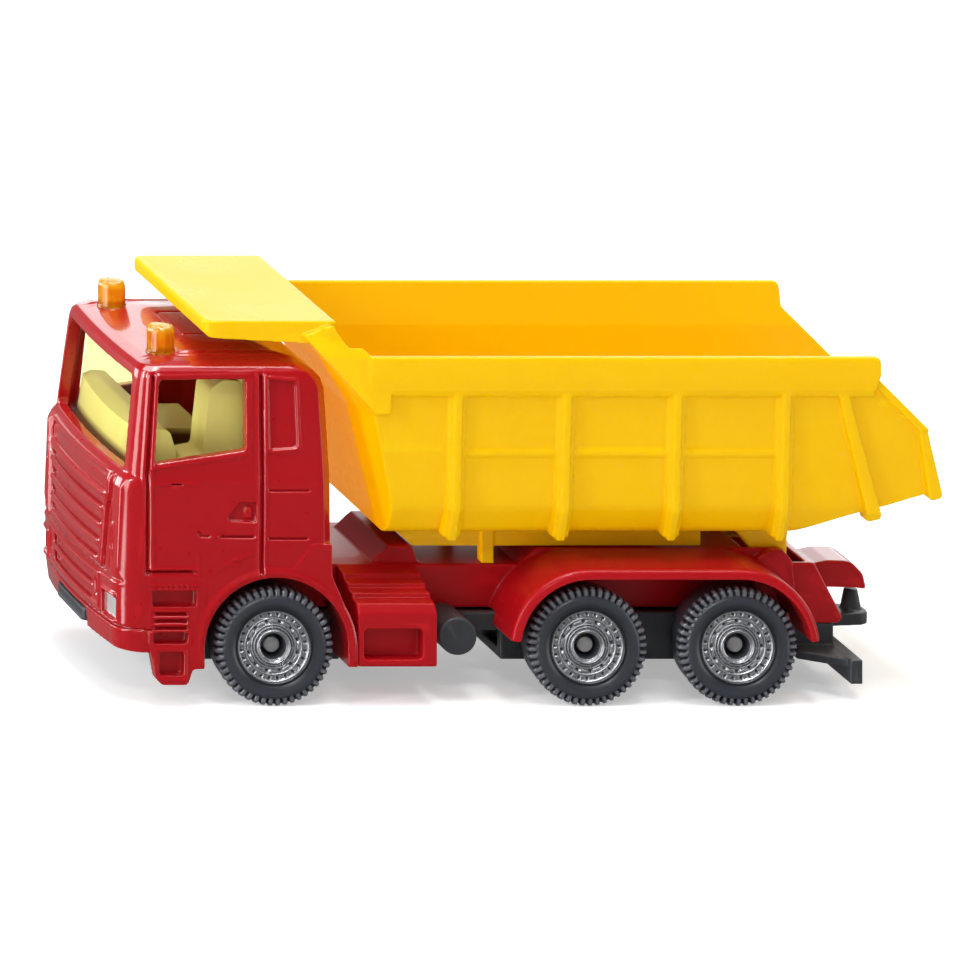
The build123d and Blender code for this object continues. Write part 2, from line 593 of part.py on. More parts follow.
# ---- rivets and hinge pin ------------------------------------------------------------------------
def make_rivets():
    solids = []
    head_z = BASE_Z + 0.15
    for x, y, top in RIVETS:
        rivet = rod_z(RIVET_R, BASE_Z + 0.3, top, x, y) + rod_z(1.5, head_z, BASE_Z + 0.8, x, y)
        rivet = rivet - cone_z(0.7501, 0.3, 0.5, x, y, head_z)
        solids.extend(rivet.solids())
    return Compound(children=solids)


def make_hinge_pin():
    return rod_x(HINGE_R, -7.6, PIN_SEAT, HINGE_Y, HINGE_Z)


# ---- tipping body --------------------------------------------------------------------------------
# (x, z, radius) cross sections
OUTER_CROSS = [
    (-13.35, 35.4), (-13.35, 31.2), (-12.95, 25.6), (-12.35, 19.8, 2.6), (-10.4, 16.6, 2.0),
    (10.4, 16.6, 2.0), (12.35, 19.8, 2.6), (12.95, 25.6), (13.35, 31.2), (13.35, 35.4),
    (12.9, 39.5), (-12.9, 39.5),
]
LOAD_CROSS = [
    (-13.55, 35.5), (-12.4, 31.2), (-11.95, 25.6), (-11.4, 20.4, 2.2), (-9.6, 17.7, 1.6),
    (9.6, 17.7, 1.6), (11.4, 20.4, 2.2), (11.95, 25.6), (12.4, 31.2), (13.55, 35.5),
    (13.55, 42), (-13.55, 42),
]
RAIL_CROSS = [
    (12.3, 31.35), (13.75, 31.35, 0.2), (14.12, 32.0, 0.25), (RAIL_HALF_WIDTH, 33.2, 0.4),
    (RAIL_HALF_WIDTH, 35.4, 0.35), (12.3, 35.4),
]
RIB_CROSS = [
    (12.0, 32.0), (14.02, 32.0), (13.95, 31.0, 0.4), (13.25, 19.6, 0.8), (11.9, 16.25, 0.3),
    (10.2, 16.25), (11.0, 20),
]
RIB_FOOT_CROSS = [
    (12.0, 32.0), (13.6, 32.0), (13.55, 31.0, 0.4), (12.95, 19.8, 0.8), (11.75, 16.6, 0.3),
    (10.4, 16.6), (11.0, 20),
]
BEAD_CROSS = [(12.4, 25.05), (13.1, 25.15, 0.1), (13.17, 25.75, 0.1), (12.4, 25.9)]
TAIL_RIB_CROSS = [
    (11.2, 32.2), (13.95, 32.2), (13.3, 19.4), (12.2, 18.0, 0.3), (10.6, 18.0), (11.6, 24),
]
LIP_RIB_CROSS = [
    (11.0, 30.0), (13.75, 30.0), (13.3, 21.0), (12.6, 20.3, 0.3), (10.5, 20.3), (11.4, 25),
]
WING_CROSS = [(0, 25), (14.05, 25), (14.05, 35.4), (12.2, CANOPY_TOP), (0, CANOPY_TOP)]
# (y, z, radius) outlines seen from the side
OUTER_SIDE = [
    (-21.4, 37.6), (-16.6, 29.3, 1.5), (-13.65, 17.0, 0.3), (-13.1, 16.5, 0.2),
    (27.2, 16.5, 3.0), (33.2, 18.9), (41.2, 21.4), (41.55, 21.0), (40.15, 27.8, 0.8),
    (35.4, 32.7, 0.5), (35.35, 35.4, 0.6), (-15.6, 35.4), (-18.45, CANOPY_TOP),
]
LOAD_SIDE = [
    (-19.9, 38.5), (-15.5, 29.2, 1.5), (-12.55, 18.4, 0.6), (-12.0, 17.6), (27.0, 17.6, 3.0),
    (45.0, 23.6), (45.0, 45.0), (-19.2, 45),
]
RAIL_SIDE = [
    (-15.9, 30), (34.7, 30), (34.8, 31.9), (35.5, 34.0, 1.2), (35.2, 35.4, 0.5),
    (-15.9, 35.4, 0.3),
]
TAIL_RIB_SIDE = [(31.1, 31.95), (32.1, 31.95), (35.9, 18.75, 0.3), (34.5, 18.3, 0.3)]
LIP_RIB_SIDE = [
    (39.25, 28.4), (40.2, 27.9, 0.3), (Y_TAIL, 21.1, 0.4), (40.9, 20.55, 0.3), (40.5, 21.0),
]
TAIL_EDGE_SIDE = [(34.9, 32.4), (35.4, 32.9), (40.4, 27.9), (39.5, 27.7)]
WING_SIDE = [
    (-22.2, 37.2), (-18.5, CANOPY_TOP - 0.15), (-15.5, 35.2), (-13.7, 35.2),
    (-13.7, 29.6, 0.4), (-15.25, 29.6, 0.4),
]
CANOPY_SIDE = [
    (-31.85, 37.2, 0.4), (-31.85, CANOPY_TOP, 0.35), (-18.6, CANOPY_TOP), (-19.3, 37.4),
    (-20.0, 36.3), (-21.4, 36.2), (-31.3, 36.75, 0.2),
]
RUNNER_SIDE = [
    (-11.2, 16.7), (-11.2, 16.0), (-9.0, DECK_Z + 0.1, 0.4), (20.1, DECK_Z + 0.1), (20.1, 16.7),
]
BRACKET_SIDE = [(22.6, 16.8), (25.3, 13.6, 1.0), (26.0, 11.7, 1.2), (28.9, 11.7, 1.3), (29.0, 16.8)]
CANOPY_PLAN = [(-12.2, -31.85, 1.2), (12.2, -31.85, 1.2), (12.2, -15), (-12.2, -15)]
RIB_Y = (-6.9, 4.0, 15.1, 26.0)


def corner_wedge(inner_x, shift):
    """Takes the front wall back by about a third as it runs out to the side wall."""
    sections = []
    for z, wall_y in ((12.0, -12.4), (29.3, -16.6), (40.0, -22.8)):
        y = wall_y + shift
        outline = [(inner_x, -45), (inner_x, y), (inner_x + 7, y + 2.45), (inner_x + 7, -45)]
        sections.append(Plane.XY.offset(z) * rounded(outline))
    return loft(sections, ruled=True)


def make_tipping_body():
    body = prism_y(OUTER_CROSS, -30, 45) & prism_x(OUTER_SIDE, -20, 20)
    body = body - both(corner_wedge(9.1, 0.0))
    load = prism_y(LOAD_CROSS, -30, 50) & prism_x(LOAD_SIDE, -20, 20)
    load = load - both(corner_wedge(8.75, 1.1))
    body = body + both(prism_y(RAIL_CROSS, -15.9, 35.35) & prism_x(RAIL_SIDE, 0, 20))
    # ribs between rail and floor, each on a wider foot
    for y in RIB_Y:
        rib = prism_y(RIB_CROSS, y - 0.42, y + 0.42)
        body = body + both(rib + prism_y(RIB_FOOT_CROSS, y - 0.8, y + 0.8))
    # bead along the side between the first and the last rib
    body = body + both(prism_y(BEAD_CROSS, RIB_Y[0], RIB_Y[-1]))
    # raked rib, tail lip rib and the sloping edge that joins them
    tail_rib = prism_x(TAIL_RIB_SIDE, 0, 20) & prism_y(TAIL_RIB_CROSS, 20, 45)
    lip_rib = prism_x(LIP_RIB_SIDE, 0, 20) & prism_y(LIP_RIB_CROSS, 20, 45)
    body = body + both(tail_rib + lip_rib + prism_x(TAIL_EDGE_SIDE, 12.0, 13.75))
    # front wings that carry the canopy up from the rails
    wing = prism_x(WING_SIDE, 11.2, 14.05) & prism_y(WING_CROSS, -30, 0)
    body = body + both(wing)
    body = body - load
    body = body + (prism_x(CANOPY_SIDE, -12.2, 12.2) & prism_z(CANOPY_PLAN, 30, 40))
    # under-body: two runners, two legs, hinge brackets
    runners = both(prism_x(RUNNER_SIDE, 5.0, 6.3))
    legs = both(box(5.2, 6.65, -2.2, -0.95, LOW_DECK_Z + 0.08, 16.7))
    brackets = both(prism_x(BRACKET_SIDE, 4.3, 6.0))
    body = body + runners + legs + brackets
    return body - rod_x(HINGE_R + HINGE_CLEAR, -10, 10, HINGE_Y, HINGE_Z)


# ---- wheels ----------------------------------------------------------------------------------------
# (x, radius from the axle, corner radius) sections of the left wheel
GROOVE_R = 5.72
RIM_FACE = TYRE_OUT - 0.75
RIM_BACK = TYRE_IN + 0.25
# tyre: bead at the rim, rounded shoulder, two grooves round the tread
TYRE = [
    (TYRE_IN, RIM_R), (TYRE_OUT - 0.35, RIM_R), (TYRE_OUT - 0.3, 3.85, 0.1),
    (TYRE_OUT, 4.2, 0.2), (TYRE_OUT, 5.45, 0.3), (TYRE_OUT - 0.35, WHEEL_R, 0.15),
    (11.9, WHEEL_R), (11.85, GROOVE_R), (11.6, GROOVE_R), (11.55, WHEEL_R),
    (10.8, WHEEL_R), (10.75, GROOVE_R), (10.5, GROOVE_R), (10.45, WHEEL_R),
    (TYRE_IN + 0.35, WHEEL_R, 0.15), (TYRE_IN, 5.2, 0.2),
]
# rim: hub tube, stepped face with a raised ring, outer lip, hollow back
RIM = [
    (RIM_BACK, AXLE_R), (AXLE_END - 1.0, AXLE_R), (AXLE_END - 1.0, 1.15),
    (TYRE_OUT - 0.35, 1.27), (TYRE_OUT - 0.25, 1.6, 0.1), (RIM_FACE, 2.05), (RIM_FACE, 2.35),
    (TYRE_OUT - 0.55, 2.4), (TYRE_OUT - 0.55, 2.75), (RIM_FACE, 2.8), (RIM_FACE, 3.2),
    (TYRE_OUT - 0.2, 3.35), (TYRE_OUT - 0.2, RIM_R), (RIM_BACK, RIM_R),
    (RIM_BACK, 2.6), (TYRE_IN + 1.6, 2.6), (TYRE_IN + 1.6, 1.5), (RIM_BACK, 1.5),
]
RIM_HOLES, RIM_HOLE_R, RIM_HOLE_CIRCLE_R = 12, 0.17, 2.575


def make_ring(section, y):
    return Pos(0, y, AXLE_Z) * revolve(rounded(section), Axis.X)


def make_rim(axle_y):
    rim = make_ring(RIM, axle_y)
    for i in range(RIM_HOLES):
        angle = math.radians(360 / RIM_HOLES * i)
        y = axle_y + RIM_HOLE_CIRCLE_R * math.cos(angle)
        z = AXLE_Z + RIM_HOLE_CIRCLE_R * math.sin(angle)
        rim = rim - rod_x(RIM_HOLE_R, TYRE_OUT - 1.2, TYRE_OUT, y, z)
    return rim


def make_axle(y):
    axle = rod_x(AXLE_R, -AXLE_END, AXLE_END, y, AXLE_Z)
    return chamfer(axle.edges().filter_by(GeomType.CIRCLE), AXLE_CHAMFER)


# ---- write the pieces --------------------------------------------------------------------------------
os.makedirs("parts", exist_ok=True)

for place, y in AXLE_Y.items():
    for kind, piece in (("tyre", make_ring(TYRE, y)), ("rim", make_rim(y))):
        save(piece, f"{place}_{kind}_left")
        save(mirror(piece, Plane.YZ), f"{place}_{kind}_right")
    save(make_axle(y), f"{place}_axle")

for name, make in (
    ("cab_shell", make_cab_shell),
    ("window_and_beacon_moulding", make_glazing),
    ("cab_interior", make_interior),
    ("chassis_casting", make_chassis),
    ("base_plate", make_base_plate),
    ("base_rivets", make_rivets),
    ("tipper_hinge_pin", make_hinge_pin),
    ("tipping_body", make_tipping_body),
):
    save(make(), name)
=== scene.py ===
import math

import bmesh
import bpy
import numpy as np
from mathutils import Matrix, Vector


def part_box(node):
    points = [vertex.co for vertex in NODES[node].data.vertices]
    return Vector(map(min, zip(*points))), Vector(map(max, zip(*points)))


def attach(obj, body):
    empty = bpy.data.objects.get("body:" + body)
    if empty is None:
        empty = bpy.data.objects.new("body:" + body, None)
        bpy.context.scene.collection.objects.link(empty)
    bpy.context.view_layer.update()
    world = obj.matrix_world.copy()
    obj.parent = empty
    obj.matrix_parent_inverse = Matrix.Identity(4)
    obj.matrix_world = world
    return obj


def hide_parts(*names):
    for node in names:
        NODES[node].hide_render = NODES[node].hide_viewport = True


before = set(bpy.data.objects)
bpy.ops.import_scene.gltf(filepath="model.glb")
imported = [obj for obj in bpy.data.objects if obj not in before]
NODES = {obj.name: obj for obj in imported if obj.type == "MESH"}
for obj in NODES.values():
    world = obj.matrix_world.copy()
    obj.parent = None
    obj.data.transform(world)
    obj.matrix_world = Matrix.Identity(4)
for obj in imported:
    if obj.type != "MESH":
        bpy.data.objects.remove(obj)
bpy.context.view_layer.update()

MM = 0.001


# =====================================================================================================================
# mesh helpers: everything is shaped in millimetres and stored in metres
# =====================================================================================================================
def get_co(me):
    co = np.empty(len(me.vertices) * 3, np.float64)
    me.vertices.foreach_get("co", co)
    return co.reshape(-1, 3)


def set_co(me, co):
    me.vertices.foreach_set("co", np.asarray(co, np.float32).ravel())
    me.update()


def smooth_shade(me, on=True):
    me.polygons.foreach_set("use_smooth", [on] * len(me.polygons))


def from_arrays(name, verts, faces):
    me = bpy.data.meshes.new(name)
    me.from_pydata([tuple(v) for v in verts], [], faces)
    me.update()
    ob = bpy.data.objects.new(name, me)
    bpy.context.scene.collection.objects.link(ob)
    return ob


def applied(ob, name):
    """A new mesh with the object's modifiers applied, and the modifiers dropped."""
    dg = bpy.context.evaluated_depsgraph_get()
    ev = ob.evaluated_get(dg)
    me = bpy.data.meshes.new_from_object(ev, depsgraph=dg)
    ob.modifiers.clear()
    old = ob.data
    ob.data = me
    me.name = name
    if old.users == 0:
        bpy.data.meshes.remove(old)
    return me


def normals_of(me):
    n = np.empty(len(me.vertices) * 3, np.float32)
    me.vertices.foreach_get("normal", n)
    return n.reshape(-1, 3).astype(np.float64)


def soften(name, sources, voxel, smooth, tris, relief=None, after=0):
    """A cast or moulded copy of CAD nodes: edges rounded off as paint and tool radii round them."""
    parts = []
    for src in sources:
        me = src.data.copy()
        ob = bpy.data.objects.new("tmp", me)
        bpy.context.scene.collection.objects.link(ob)
        parts.append(ob)
    base = parts[0]
    if len(parts) > 1:
        bm = bmesh.new()
        for p in parts:
            bm.from_mesh(p.data)
        bm.to_mesh(base.data)
        bm.free()
        for p in parts[1:]:
            bpy.data.objects.remove(p)
    base.name = name
    base.data.name = name
    base.data.materials.clear()
    if base.data.has_custom_normals:
        with bpy.context.temp_override(object=base, active_object=base, selected_objects=[base]):
            bpy.ops.mesh.customdata_custom_splitnormals_clear()
    set_co(base.data, get_co(base.data) * 1000.0)
    bm = bmesh.new()
    bm.from_mesh(base.data)
    bmesh.ops.remove_doubles(bm, verts=bm.verts, dist=1e-4)
    bm.to_mesh(base.data)
    bm.free()
    m = base.modifiers.new("r", "REMESH")
    m.mode = "VOXEL"
    m.voxel_size = voxel
    m.use_smooth_shade = True
    if smooth:
        s = base.modifiers.new("s", "SMOOTH")
        s.factor = 0.5
        s.iterations = smooth
    applied(base, name)
    if relief:
        me = base.data
        set_co(me, relief(get_co(me), normals_of(me)))
        if after:
            s = base.modifiers.new("s", "SMOOTH")
            s.factor = 0.5
            s.iterations = after
            applied(base, name)
    n = sum(len(p.vertices) - 2 for p in base.data.polygons)
    if tris and n > tris:
        d = base.modifiers.new("d", "DECIMATE")
        d.ratio = tris / n
        applied(base, name)
    set_co(base.data, get_co(base.data) * MM)
    smooth_shade(base.data)
    return base


def step(x, e=0.06):
    return 1.0 / (1.0 + np.exp(-np.clip(x / e, -40, 40)))


def band(x, a, b, e=0.06):
    return step(x - a, e) * step(b - x, e)


# =====================================================================================================================
# materials
# =====================================================================================================================
class Mat:
    def __init__(self, name):
        self.m = bpy.data.materials.new(name)
        self.m.use_nodes = True
        self.t = self.m.node_tree
        self.n = self.t.nodes
        self.bsdf = self.n["Principled BSDF"]

    def node(self, kind, **kw):
        x = self.n.new(kind)
        for k, v in kw.items():
            if k.startswith("i_"):
                x.inputs[k[2:].replace("_", " ")].default_value = v
            else:
                setattr(x, k, v)
        return x

    def link(self, a, b):
        self.t.links.new(a, b)

    def set(self, **kw):
        for k, v in kw.items():
            self.bsdf.inputs[k.replace("_", " ")].default_value = v
        return self

    def coords(self):
        return self.node("ShaderNodeTexCoord").outputs["Object"]

    def noise(self, scale, detail=3.0, rough=0.5, vec=None):
        x = self.node("ShaderNodeTexNoise")
        x.inputs["Scale"].default_value = scale
        x.inputs["Detail"].default_value = detail
        x.inputs["Roughness"].default_value = rough
        self.link(vec or self.coords(), x.inputs["Vector"])
        return x.outputs["Fac"]

    def remap(self, src, a, b, c, d):
        x = self.node("ShaderNodeMapRange")
        for k, v in zip(("From Min", "From Max", "To Min", "To Max"), (a, b, c, d)):
            x.inputs[k].default_value = v
        self.link(src, x.inputs["Value"])
        return x.outputs["Result"]

    def mix(self, fac, c1, c2, mode="MIX"):
        x = self.node("ShaderNodeMix", data_type="RGBA", blend_type=mode)
        if hasattr(fac, "is_output") or hasattr(fac, "links"):
            self.link(fac, x.inputs["Factor"])
        else:
            x.inputs["Factor"].default_value = fac
        for sock, c in ((x.inputs[6], c1), (x.inputs[7], c2)):
            if hasattr(c, "links"):
                self.link(c, sock)
            else:
                sock.default_value = (*c, 1.0)
        return x.outputs[2]

    def bump(self, h, strength, dist, normal=None):
        x = self.node("ShaderNodeBump")
        x.inputs["Strength"].default_value = strength
        x.inputs["Distance"].default_value = dist
        self.link(h, x.inputs["Height"])
        if normal:
            self.link(normal, x.inputs["Normal"])
        return x.outputs["Normal"]

    def coord_z(self):
        x = self.node("ShaderNodeSeparateXYZ")
        self.link(self.coords(), x.inputs[0])
        return x.outputs["Z"]

    def bevel(self, radius):
        x = self.node("ShaderNodeBevel")
        x.samples = 6
        x.inputs["Radius"].default_value = radius
        return x.outputs["Normal"]

    def pointiness(self):
        return self.node("ShaderNodeNewGeometry").outputs["Pointiness"]


def mat_red():
    m = Mat("red_enamel")
    m.set(Roughness=0.3, Coat_Weight=1.0, Coat_Roughness=0.012, Coat_IOR=1.5, IOR=1.3)
    slow = m.noise(70.0, 2.0)
    c = m.mix(m.remap(slow, 0.3, 0.7, 0.0, 1.0), (0.42, 0.0025, 0.007), (0.39, 0.002, 0.006))
    # painted shade in grooves and painted highlight on raised edges, from pointiness
    p = m.remap(m.pointiness(), 0.44, 0.56, 0.0, 1.0)
    c2 = m.mix(p, (0.20, 0.0015, 0.003), (0.58, 0.008, 0.014))
    c = m.mix(0.3, c, c2)
    m.link(c, m.bsdf.inputs["Base Color"])
    peel = m.noise(300.0, 2.0)
    m.link(m.bump(peel, 0.05, 0.00005), m.bsdf.inputs["Coat Normal"])
    m.link(m.remap(m.noise(900.0, 2.0), 0.2, 0.8, 0.26, 0.36), m.bsdf.inputs["Roughness"])
    return m.m


def mat_red_frame():
    m = Mat("red_enamel_frame")
    m.set(Roughness=0.34, Coat_Roughness=0.03, Coat_IOR=1.5, IOR=1.25)
    c = m.mix(m.remap(m.noise(70.0, 2.0), 0.3, 0.7, 0.0, 1.0), (0.43, 0.0035, 0.0085), (0.40, 0.003, 0.0075))
    # painted shade in grooves and painted highlight on raised edges, from pointiness
    p = m.remap(m.pointiness(), 0.44, 0.56, 0.0, 1.0)
    c = m.mix(0.5, c, m.mix(p, (0.18, 0.0015, 0.003), (0.58, 0.008, 0.014)))
    m.link(c, m.bsdf.inputs["Base Color"])
    x = m.node("ShaderNodeSeparateXYZ")
    m.link(m.coords(), x.inputs[0])
    m.link(m.remap(x.outputs["Y"], 0.027, 0.032, 0.10, 1.0), m.bsdf.inputs["Coat Weight"])
    m.link(m.bump(m.noise(300.0, 2.0), 0.06, 0.00005), m.bsdf.inputs["Coat Normal"])
    return m.m


def mat_yellow():
    m = Mat("yellow_moulding")
    m.set(Roughness=0.42, Coat_Weight=0.05, Coat_Roughness=0.16, IOR=1.22, Subsurface_Weight=0.10, Subsurface_Scale=0.0012)
    m.bsdf.inputs["Subsurface Radius"].default_value = (1.0, 0.55, 0.08)
    slow = m.noise(45.0, 3.0)
    c = m.mix(m.remap(slow, 0.3, 0.7, 0.0, 1.0), (0.93, 0.555, 0.0002), (0.905, 0.535, 0.0001))
    # painted shade in hollows and painted highlight on raised edges, from pointiness
    p = m.remap(m.pointiness(), 0.47, 0.56, 0.0, 1.0)
    c2 = m.mix(p, (0.80, 0.36, 0.0), (1.0, 0.70, 0.002))
    c = m.mix(0.18, c, c2)
    m.link(c, m.bsdf.inputs["Base Color"])
    fine = m.noise(1500.0, 3.0)
    m.link(m.bump(fine, 0.08, 0.00003), m.bsdf.inputs["Normal"])
    m.link(m.remap(m.noise(120.0, 3.0), 0.3, 0.7, 0.24, 0.34), m.bsdf.inputs["Roughness"])
    # painted light: an orange emission on the outside of the headboard, where it faces the cab's back, brightens it in
    # place of daylight shining through the thin wall
    face = m.node("ShaderNodeSeparateXYZ")
    m.link(m.node("ShaderNodeNewGeometry").outputs["True Normal"], face.inputs[0])
    at = m.node("ShaderNodeSeparateXYZ")
    m.link(m.coords(), at.inputs[0])
    painted_glow = m.node("ShaderNodeMath", operation="MULTIPLY")
    m.link(m.remap(face.outputs["Y"], -0.35, -0.75, 0.0, 1.0), painted_glow.inputs[0])
    m.link(m.remap(at.outputs["Y"], 0.004, 0.0, 0.0, 0.55), painted_glow.inputs[1])
    # only where the cab shades it: tipped into the open the wall is lit from outside like the rest
    shade = m.node("ShaderNodeAmbientOcclusion", samples=6)
    shade.inputs["Distance"].default_value = 0.010
    painted_glow_in_shade = m.node("ShaderNodeMath", operation="MULTIPLY")
    m.link(painted_glow.outputs[0], painted_glow_in_shade.inputs[0])
    m.link(m.remap(shade.outputs["AO"], 0.85, 0.45, 0.0, 1.0), painted_glow_in_shade.inputs[1])
    m.bsdf.inputs["Emission Color"].default_value = (0.95, 0.36, 0.0, 1.0)
    m.link(painted_glow_in_shade.outputs[0], m.bsdf.inputs["Emission Strength"])
    return m.m


def mat_tyre():
    m = Mat("tyre_plastic")
    m.set(Roughness=0.32, IOR=1.55, Specular_IOR_Level=0.75)
    slow = m.noise(180.0, 3.0)
    # painted shade and highlight carried by the mesh per point: 0 in the gaps of the tread (painted shade), 0.5 on the
    # sidewall, 1 on top of a lug (painted highlight)
    tread_shade_highlight = m.node("ShaderNodeAttribute", attribute_name="tread_shade_highlight").outputs["Fac"]
    c = m.mix(m.remap(tread_shade_highlight, 0.0, 0.5, 0.0, 1.0), (0.006, 0.007, 0.009), (0.042, 0.049, 0.062))
    c = m.mix(m.remap(tread_shade_highlight, 0.5, 1.0, 0.0, 1.0), c, (0.13, 0.14, 0.165))
    c = m.mix(m.remap(slow, 0.3, 0.7, 0.0, 0.25), c, (0.034, 0.040, 0.052))
    m.link(c, m.bsdf.inputs["Base Color"])
    fine = m.noise(2600.0, 3.0)
    m.link(m.bump(fine, 0.12, 0.00004), m.bsdf.inputs["Normal"])
    m.link(m.remap(slow, 0.3, 0.7, 0.29, 0.42), m.bsdf.inputs["Roughness"])
    return m.m


def mat_chrome():
    m = Mat("silver_foil")
    m.set(Metallic=0.72, Roughness=0.3, IOR=1.5)
    slow = m.noise(420.0, 3.0)
    # painted shade in the stamped hollows and painted highlight on raised parts, from pointiness
    p = m.remap(m.pointiness(), 0.43, 0.56, 0.0, 1.0)
    c = m.mix(p, (0.02, 0.024, 0.03), (0.88, 0.90, 0.94))
    c = m.mix(m.remap(slow, 0.35, 0.65, 0.0, 0.35), c, (0.30, 0.31, 0.33))
    m.link(c, m.bsdf.inputs["Base Color"])
    m.link(m.remap(slow, 0.3, 0.7, 0.24, 0.42), m.bsdf.inputs["Roughness"])
    m.link(m.bump(m.noise(1500.0, 4.0), 0.3, 0.00006), m.bsdf.inputs["Normal"])
    return m.m


def mat_dark():
    m = Mat("dark_moulding")
    m.set(Roughness=0.45, IOR=1.5)
    # painted shade in hollows and painted highlight on raised edges, from pointiness
    p = m.remap(m.pointiness(), 0.45, 0.57, 0.0, 1.0)
    c = m.mix(p, (0.020, 0.022, 0.026), (0.060, 0.066, 0.075))
    c = m.mix(m.remap(m.noise(160.0, 3.0), 0.3, 0.7, 0.0, 0.45), c, (0.042, 0.046, 0.054))
    m.link(c, m.bsdf.inputs["Base Color"])
    fine = m.noise(1900.0, 4.0)
    m.link(m.bump(fine, 0.25, 0.00006), m.bsdf.inputs["Normal"])
    m.link(m.remap(m.noise(300.0, 3.0), 0.3, 0.7, 0.36, 0.52), m.bsdf.inputs["Roughness"])
    return m.m


def mat_interior():
    m = Mat("cab_interior_plastic")
    m.set(Roughness=0.4, IOR=1.5, Subsurface_Weight=0.15, Subsurface_Scale=0.001)
    c = m.mix(m.remap(m.noise(140.0, 3.0), 0.3, 0.7, 0.0, 1.0), (0.90, 0.87, 0.52), (0.95, 0.92, 0.60))
    # painted shade in hollows, from pointiness
    p = m.remap(m.pointiness(), 0.44, 0.53, 0.0, 1.0)
    c = m.mix(p, (0.62, 0.56, 0.22), c)
    # painted shade: the floor of the tub, below the sills, is coloured dark brown
    zz = m.remap(m.coord_z(), 0.0232, 0.0240, 0.0, 1.0)
    c = m.mix(zz, (0.16, 0.06, 0.02), c)
    m.link(c, m.bsdf.inputs["Base Color"])
    m.link(m.bump(m.noise(1300.0, 3.0), 0.15, 0.00004), m.bsdf.inputs["Normal"])
    return m.m


def mat_steel(name, tint):
    m = Mat(name)
    m.set(Metallic=0.55, Roughness=0.35)
    c = m.mix(m.remap(m.noise(700.0, 3.0), 0.3, 0.7, 0.0, 1.0), tint, tuple(t * 0.72 for t in tint))
    m.link(c, m.bsdf.inputs["Base Color"])
    m.link(m.bump(m.noise(2600.0, 4.0), 0.35, 0.00008), m.bsdf.inputs["Normal"])
    m.link(m.remap(m.noise(900.0, 2.0), 0.3, 0.7, 0.28, 0.5), m.bsdf.inputs["Roughness"])
    return m.m


def mat_glazing():
    """Thin clear yellow panes: tint without the bending of a solid block, mirror at grazing angles."""
    m = Mat("yellow_glazing")
    n = m.noise(90.0, 2.0)
    tint = m.mix(m.remap(n, 0.3, 0.7, 0.0, 1.0), (0.975, 0.965, 0.80), (0.965, 0.955, 0.76))
    clear = m.node("ShaderNodeBsdfTransparent")
    m.link(tint, clear.inputs["Color"])
    shine = m.node("ShaderNodeBsdfGlossy")
    shine.inputs["Roughness"].default_value = 0.02
    fr = m.node("ShaderNodeFresnel")
    fr.inputs["IOR"].default_value = 1.22
    mx = m.node("ShaderNodeMixShader")
    back = m.node("ShaderNodeNewGeometry").outputs["Backfacing"]
    gate = m.node("ShaderNodeMath", operation="MULTIPLY")
    m.link(fr.outputs[0], gate.inputs[0])
    m.link(m.remap(back, 0.0, 1.0, 1.0, 0.0), gate.inputs[1])
    m.link(gate.outputs[0], mx.inputs[0])
    m.link(clear.outputs[0], mx.inputs[1])
    m.link(shine.outputs[0], mx.inputs[2])
    m.link(mx.outputs[0], m.n["Material Output"].inputs["Surface"])
    m.n.remove(m.bsdf)
    return m.m


def mat_beacon():
    m = Mat("amber_lens")
    m.set(Transmission_Weight=0.55, Roughness=0.05, IOR=1.49, Subsurface_Weight=0.2, Subsurface_Scale=0.001)
    # colour by height: brown at the foot, amber above it, pale yellow at the top
    z = m.remap(m.coord_z(), 0.0340, 0.0372, 0.0, 1.0)
    c = m.mix(m.remap(z, 0.0, 0.25, 0.0, 1.0), (0.30, 0.075, 0.002), (0.88, 0.27, 0.004))
    c = m.mix(m.remap(z, 0.70, 0.92, 0.0, 1.0), c, (1.0, 0.66, 0.02))
    c = m.mix(m.remap(m.noise(700.0, 2.0), 0.45, 0.62, 0.0, 0.5), c, (1.0, 0.60, 0.02))
    m.link(c, m.bsdf.inputs["Base Color"])
    m.link(m.bump(m.noise(900.0, 2.0), 0.25, 0.00008), m.bsdf.inputs["Normal"])
    return m.m


def mat_lamp():
    m = Mat("silver_lamp_print")
    m.set(Roughness=0.32, Metallic=0.55, Coat_Weight=0.6, Coat_Roughness=0.1)
    c = m.mix(m.remap(m.noise(500.0, 3.0), 0.35, 0.65, 0.0, 1.0), (0.78, 0.80, 0.80), (0.66, 0.69, 0.69))
    m.link(c, m.bsdf.inputs["Base Color"])
    m.link(m.bump(m.noise(1500.0, 3.0), 0.2, 0.00004), m.bsdf.inputs["Normal"])
    return m.m


RED, YELLOW, TYRE, CHROME, DARK = mat_red(), mat_yellow(), mat_tyre(), mat_chrome(), mat_dark()
INTERIOR, GLAZE, BEACON_MAT, LAMP = mat_interior(), mat_glazing(), mat_beacon(), mat_lamp()
STEEL = mat_steel("axle_steel", (0.56, 0.56, 0.57))
BARE = mat_steel("rivet_metal", (0.62, 0.62, 0.63))


def paint(ob, mat):
    ob.data.materials.clear()
    ob.data.materials.append(mat)


def keep(node, mat):
    o = NODES[node]
    for i in range(len(o.data.materials)):
        o.data.materials[i] = mat
    if not len(o.data.materials):
        o.data.materials.append(mat)


# =====================================================================================================================
# cab, chassis, base, tipping body
# =====================================================================================================================
def line(d, w):
    return np.exp(-((d / w) ** 2))


def outline(u, v, poly):
    """Signed distance (negative inside) to a convex polygon, corners anticlockwise or clockwise."""
    n = len(poly)
    area2 = sum(poly[i][0] * poly[(i + 1) % n][1] - poly[(i + 1) % n][0] * poly[i][1] for i in range(n))
    sgn = 1.0 if area2 > 0 else -1.0
    d = np.full_like(u, -1e9)
    for i in range(n):
        a, b = poly[i], poly[(i + 1) % n]
        l = math.hypot(b[0] - a[0], b[1] - a[1])
        nx, ny = sgn * (b[1] - a[1]) / l, -sgn * (b[0] - a[0]) / l
        d = np.maximum(d, (u - a[0]) * nx + (v - a[1]) * ny)
    return d


